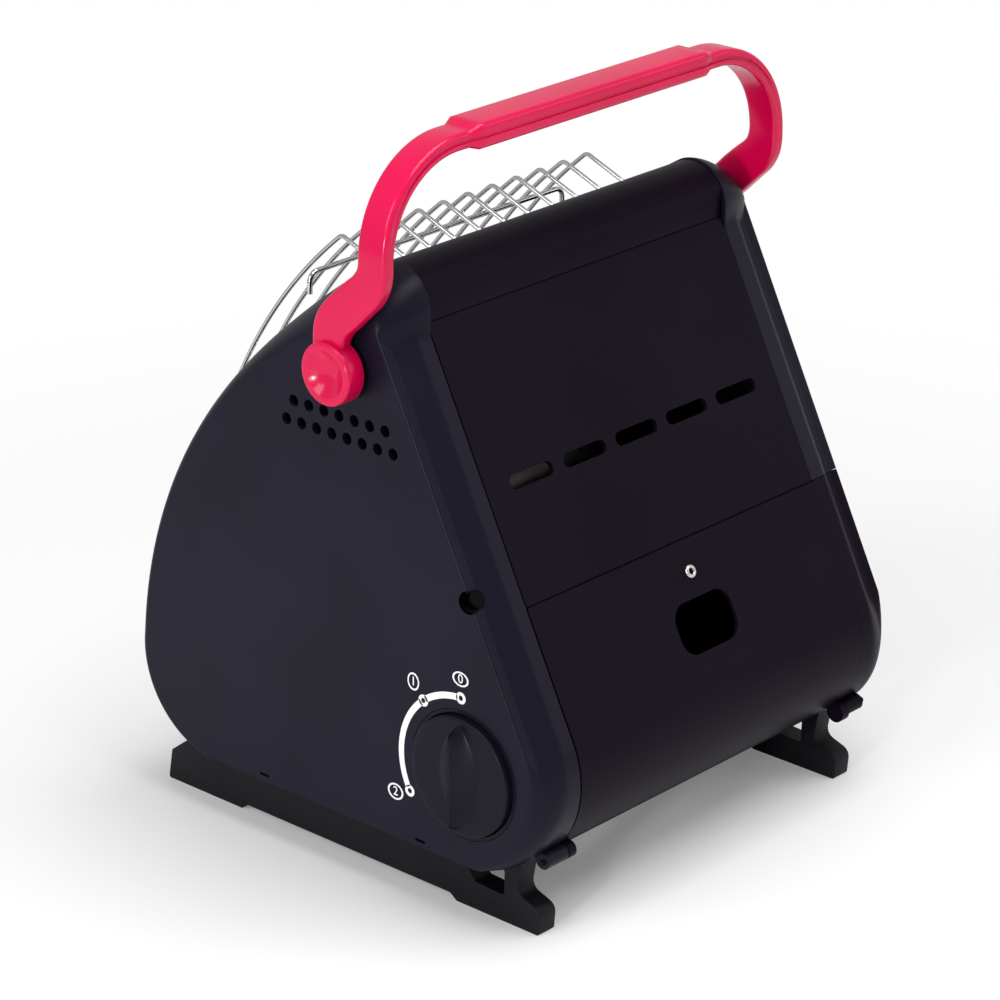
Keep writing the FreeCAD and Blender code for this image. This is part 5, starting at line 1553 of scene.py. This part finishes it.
@dataclass
class CarryHandle:
    """The folding handle: dished bosses, cranked arms, round corners and a thicker grip."""

    arm_middle: float = 135.65
    arm_half: float = 3.75
    rear_y: float = 37.6
    half_width: float = 8.5
    top: float = 361.8
    thickness: float = 8.3
    radius: float = 50.0
    grip_half: float = 78.0
    grip_slope: float = 5.0
    over: float = 2.2
    under: float = 1.6
    side: float = 1.5
    arm_samples: int = 54
    corner_samples: int = 40
    bar_start: float = 86.0
    corner_round: float = 2.3
    groove_depth: float = 0.9
    groove_from: float = 322.0
    groove_rise: float = 26.0
    groove_sides: tuple[float, ...] = (-1.15, -0.75, 0.35, 0.75)
    boss_middle: tuple[float, float] = (11.4, 255.0)
    boss_radius: float = 15.0
    boss_bore: float = 5.0
    boss_back: float = 131.9
    back_round: float = 0.8
    boss_face: float = 142.4
    face_round: float = 1.4
    boss_rim: Profile = ((142.4, 12.6), (142.25, 11.7))
    bowl_face: float = 142.3
    bowl_depth: float = 4.4
    bowl_radius: float = 11.2
    front_edge: tuple[tuple[float, float], ...] = (
        (0.6, 256.0), (0.4, 264.0), (0.7, 274.0), (3.9, 283.0), (11.8, 291.9), (19.8, 299.1),
        (26.6, 304.8), (28.6, 308.6), (29.1, 311.8))
    rear_edge: tuple[tuple[float, float], ...] = (
        (17.8, 256.0), (18.0, 264.0), (20.6, 272.6), (27.0, 279.2), (34.4, 286.4), (40.4, 292.4),
        (44.4, 299.4), (45.9, 306.0), (46.1, 311.8))

    def _section(self, half_u: Array, half_v: Array, round_off: Array, groove: Array) -> Array:
        """Rounded rectangles with a groove along the rear side, as (stack, places, 2).

        Each corner is a quarter circle about the point inset by its radius. The groove is two
        steps in on the +u side.

        Args:
            half_u: Half widths.
            half_v: Half thicknesses.
            round_off: Corner radii.
            groove: Groove depths.

        Returns:
            Points of the sections.
        """
        parts = []
        for index, (su, sv) in enumerate(((1, -1), (1, 1), (-1, 1), (-1, -1))):
            angle = np.linspace(0, np.pi / 2, 7) + (index - 1) * np.pi / 2
            centre = np.stack([su * (half_u - round_off), sv * (half_v - round_off)], -1)
            ray = np.stack([np.cos(angle), np.sin(angle)], -1)
            parts.append(centre[:, None] + round_off[:, None, None] * ray[None])
            if index == 0:
                v = np.array(self.groove_sides)
                dip = np.array([0.0, 1.0, 1.0, 0.0])
                u = half_u[:, None] - groove[:, None] * dip[None]
                parts.append(np.stack([u, np.broadcast_to(v, u.shape)], -1))
        return np.concatenate(parts, axis=1)

    def _half_path(self) -> dict[str, Array]:
        """Samples of the half from the boss to the middle.

        The arm follows the two edge curves; the corner is a quarter circle in the XZ plane; the
        bar runs level to the middle, and swells into the grip over a short slope.

        Returns:
            The middles, half width vectors, thickness ways and half thicknesses, by name.
        """
        count = self.arm_samples
        front, rear = smooth_path(self.front_edge, count), smooth_path(self.rear_edge, count)
        arm = {
            "middle": np.column_stack([np.full(count, self.arm_middle), (front + rear) / 2]),
            "wide": np.column_stack([np.zeros(count), (rear - front) / 2]),
            "thin": np.tile([1.0, 0.0, 0.0], (count, 1)),
            "half": np.full(count, self.arm_half),
        }
        count = self.corner_samples
        share = np.linspace(0, 1, count)
        outer_x = self.arm_middle + self.arm_half
        angle = share * np.pi / 2
        way = np.stack([np.cos(angle), np.zeros(count), np.sin(angle)], -1)
        half = self.arm_half + (self.thickness / 2 - self.arm_half) * share
        pivot = np.array([outer_x - self.radius, self.rear_y, self.top - self.radius])
        corner = {
            "middle": pivot + (self.radius - half)[:, None] * way,
            "wide": np.tile([0.0, self.half_width, 0.0], (count, 1)),
            "thin": way, "half": half,
        }
        foot = self.grip_half + self.grip_slope
        x = np.concatenate([[self.bar_start], np.linspace(foot, self.grip_half, 7),
                            np.linspace(self.grip_half - 4, 0, 12)])
        swell = np.clip((foot - x) / self.grip_slope, 0, 1)
        bar = {
            "middle": np.column_stack([
                x, np.full(len(x), self.rear_y),
                self.top - self.thickness / 2 + swell * (self.over - self.under) / 2]),
            "wide": np.column_stack([np.zeros(len(x)), self.half_width + swell * self.side,
                                     np.zeros(len(x))]),
            "thin": np.tile([0.0, 0.0, 1.0], (len(x), 1)),
            "half": self.thickness / 2 + swell * (self.over + self.under) / 2,
        }
        return {key: np.concatenate([arm[key], corner[key][1:], bar[key]]) for key in arm}

    def _bar(self) -> Shell:
        """The whole bar as one skin: the half from the knob's side and its mirror image.

        Returns:
            A closed bar.
        """
        half = self._half_path()
        turned = {"middle": np.array([-1, 1, 1]), "wide": np.array([1, 1, 1]),
                  "thin": np.array([-1, 1, 1])}
        full = {key: np.concatenate([half[key], half[key][-2::-1] * turned[key]])
                for key in turned}
        thickness = np.concatenate([half["half"], half["half"][-2::-1]])
        width = np.linalg.norm(full["wide"], axis=1)
        height = full["middle"][:, 2]
        groove = self.groove_depth * np.clip((height - self.groove_from) / self.groove_rise, 0, 1)
        section = self._section(width, thickness, np.full(len(width), self.corner_round), groove)
        wide = full["wide"] / width[:, None]
        rings = (full["middle"][:, None] + section[..., :1] * wide[:, None]
                 + section[..., 1:] * full["thin"][:, None])
        return loft(rings)

    def _boss(self) -> Shell:
        """The dished boss: a turned disc with a soft rim and a bowl in its face.

        The bowl's depth falls with the square of the radius.

        Returns:
            A closed disc on the knob's side.
        """
        turns = np.linspace(0, np.pi / 2, 6)
        bowl = [(self.bowl_face - self.bowl_depth * (1 - (r / self.bowl_radius) ** 2), r)
                for r in np.linspace(self.bowl_radius, 0.02, 16)]
        outer = [(self.boss_face - self.face_round * (1 - math.sin(turn)),
                  self.boss_radius - self.face_round * (1 - math.cos(turn))) for turn in turns]
        inner = [(self.boss_back + self.back_round * (1 - math.cos(turn)),
                  self.boss_radius - self.back_round * (1 - math.sin(turn))) for turn in turns]
        profile = [(self.boss_back, self.boss_bore), *inner, *outer, *self.boss_rim, *bowl]
        return lathe(profile, self.boss_middle, 72)

    def build(self) -> None:
        """Make the handle as one piece of a bar and two bosses."""
        boss = self._boss()
        handle = piece("carry_handle", joined([self._bar(), boss, boss.mirrored()]), Body.HANDLE,
                       ["handle"])
        dress(handle, HANDLE_RED, 40)


@dataclass
class Softbox:
    """A square lamp that looks at a point."""

    name: str
    place: tuple[float, float, float]
    size: float
    power: float
    aim: tuple[float, float, float] = (0.0, 0.0, 0.16)

    def build(self) -> None:
        """Hang the lamp: its own -Z axis points from its place to its aim."""
        light = bpy.data.lights.new(self.name, "AREA")
        light.shape, light.size, light.energy = "SQUARE", self.size, self.power
        lamp = bpy.data.objects.new(self.name, light)
        way = np.array(self.place) - np.array(self.aim)
        lamp.location = self.place
        lamp.rotation_euler = (math.acos(way[2] / np.linalg.norm(way)), 0.0,
                               math.atan2(way[0], -way[1]))
        bpy.context.scene.collection.objects.link(lamp)


@dataclass
class Studio:
    """White floor and surroundings, soft lamps and the picture's camera."""

    camera_place: tuple[float, float, float] = (1.3195, 1.1885, 0.8743)
    azimuth: float = 132.31
    elevation: float = 22.22
    lens: float = 143.66
    sky: float = 0.4
    glossy_share: float = 0.3
    floor_share: float = 0.15
    floor_reach: tuple[float, float] = (0.25, 0.75)
    floor_half: float = 6.0
    lamps: list[Softbox] = field(default_factory=lambda: [
        Softbox("key", (1.9, -0.3, 1.35), 0.9, 14.0),
        Softbox("top", (-0.1, 0.6, 1.85), 1.3, 27.0),
        Softbox("rear_right", (-1.35, 1.4, 0.75), 0.9, 2.5),
        Softbox("edge_card", (1.95, 0.55, 0.42), 0.16, 14.0),
    ])

    def _world(self) -> None:
        """White behind the heater, but a plain grey as a lamp and in reflections."""
        world = bpy.data.worlds.new("surroundings")
        world.use_nodes = True
        tree = Tree(world.node_tree)
        path = tree.node("ShaderNodeLightPath", {}, {})
        camera, through, glossy = (Signal(tree, path.outputs[f"Is {ray} Ray"])
                                   for ray in ("Camera", "Transmission", "Glossy"))
        lit, white = (tree.node("ShaderNodeBackground", {}, {
            "Color": (1, 1, 1, 1), "Strength": strength}) for strength in (self.sky, 1.0))
        mix = tree.node("ShaderNodeMixShader", {}, {
            0: glossy * self.glossy_share + (camera + through), 1: lit.outputs[0],
            2: white.outputs[0]})
        tree.node("ShaderNodeOutputWorld", {}, {"Surface": mix.outputs[0]})
        bpy.context.scene.world = world

    def _floor_material(self) -> bpy.types.Material:
        """White that takes the shadow near the heater and shows plain white further out.

        Only the camera sees the plain white, whose share rises with the way from the origin.

        Returns:
            The material.
        """
        tree = SurfaceTree("studio_floor", {
            "Base Color": (0.9, 0.9, 0.905, 1), "Roughness": 0.55, "Specular IOR Level": 0.2})
        path = tree.node("ShaderNodeLightPath", {}, {})
        reach = tree.node("ShaderNodeVectorMath", {"operation": "DISTANCE"}, {0: tree.place})
        away = Signal(tree, reach.outputs["Value"]).fade(*self.floor_reach, self.floor_share)
        glow = tree.node("ShaderNodeEmission", {}, {"Strength": 1.0})
        mix = tree.node("ShaderNodeMixShader", {}, {
            0: Signal(tree, path.outputs["Is Camera Ray"]) * away, 1: tree.shader.outputs[0],
            2: glow.outputs[0]})
        tree.base.links.new(mix.outputs[0], tree.out.inputs["Surface"])
        return tree.material

    def _floor(self) -> None:
        """Lay a wide square floor under the heater."""
        mesh = bpy.data.meshes.new("studio_floor")
        square = np.array([(-1, -1, 0), (1, -1, 0), (1, 1, 0), (-1, 1, 0)]) * self.floor_half
        mesh.from_pydata(square.tolist(), [], [(0, 1, 2, 3)])
        mesh.materials.append(self._floor_material())
        floor = bpy.data.objects.new("studio_floor", mesh)
        bpy.context.scene.collection.objects.link(floor)

    def _camera(self) -> None:
        """Put the camera where the picture was taken from."""
        data = bpy.data.cameras.new("picture")
        data.lens, data.sensor_width = self.lens, 36.0
        data.clip_start, data.clip_end = 0.05, 50.0
        camera = bpy.data.objects.new("picture", data)
        camera.location = self.camera_place
        camera.rotation_euler = (math.radians(90 - self.elevation), 0.0,
                                 math.radians(self.azimuth))
        bpy.context.scene.collection.objects.link(camera)
        bpy.context.scene.camera = camera

    def build(self) -> None:
        """Set up the whole studio."""
        self._world()
        self._floor()
        self._camera()
        for lamp in self.lamps:
            lamp.build()
        bpy.context.scene.view_settings.view_transform = "Standard"


def dress_carried() -> None:
    """Give every CAD node that stays its finish, without touching its mesh."""
    for finish, names in CARRIED.items():
        for name in names:
            dress(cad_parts[name], finish, None)
            LOG.info("%s keeps its solid, dressed as %s", name, finish.name)


def main() -> None:
    """Build the heater around its solids, then the studio."""
    logging.basicConfig(level=logging.INFO, format="%(name)s: %(message)s")
    assemblies = [
        EndCap(Side.RIGHT), EndCap(Side.LEFT), RearDoor(), TopCover(), Skid(Side.RIGHT),
        Skid(Side.LEFT), ControlKnob(), ReturnSpring(), DialMarks(), WireGuard(), CarryHandle(),
        Studio(),
    ]
    for assembly in assemblies:
        assembly.build()
    dress_carried()


if __name__ == "__main__":
    main()
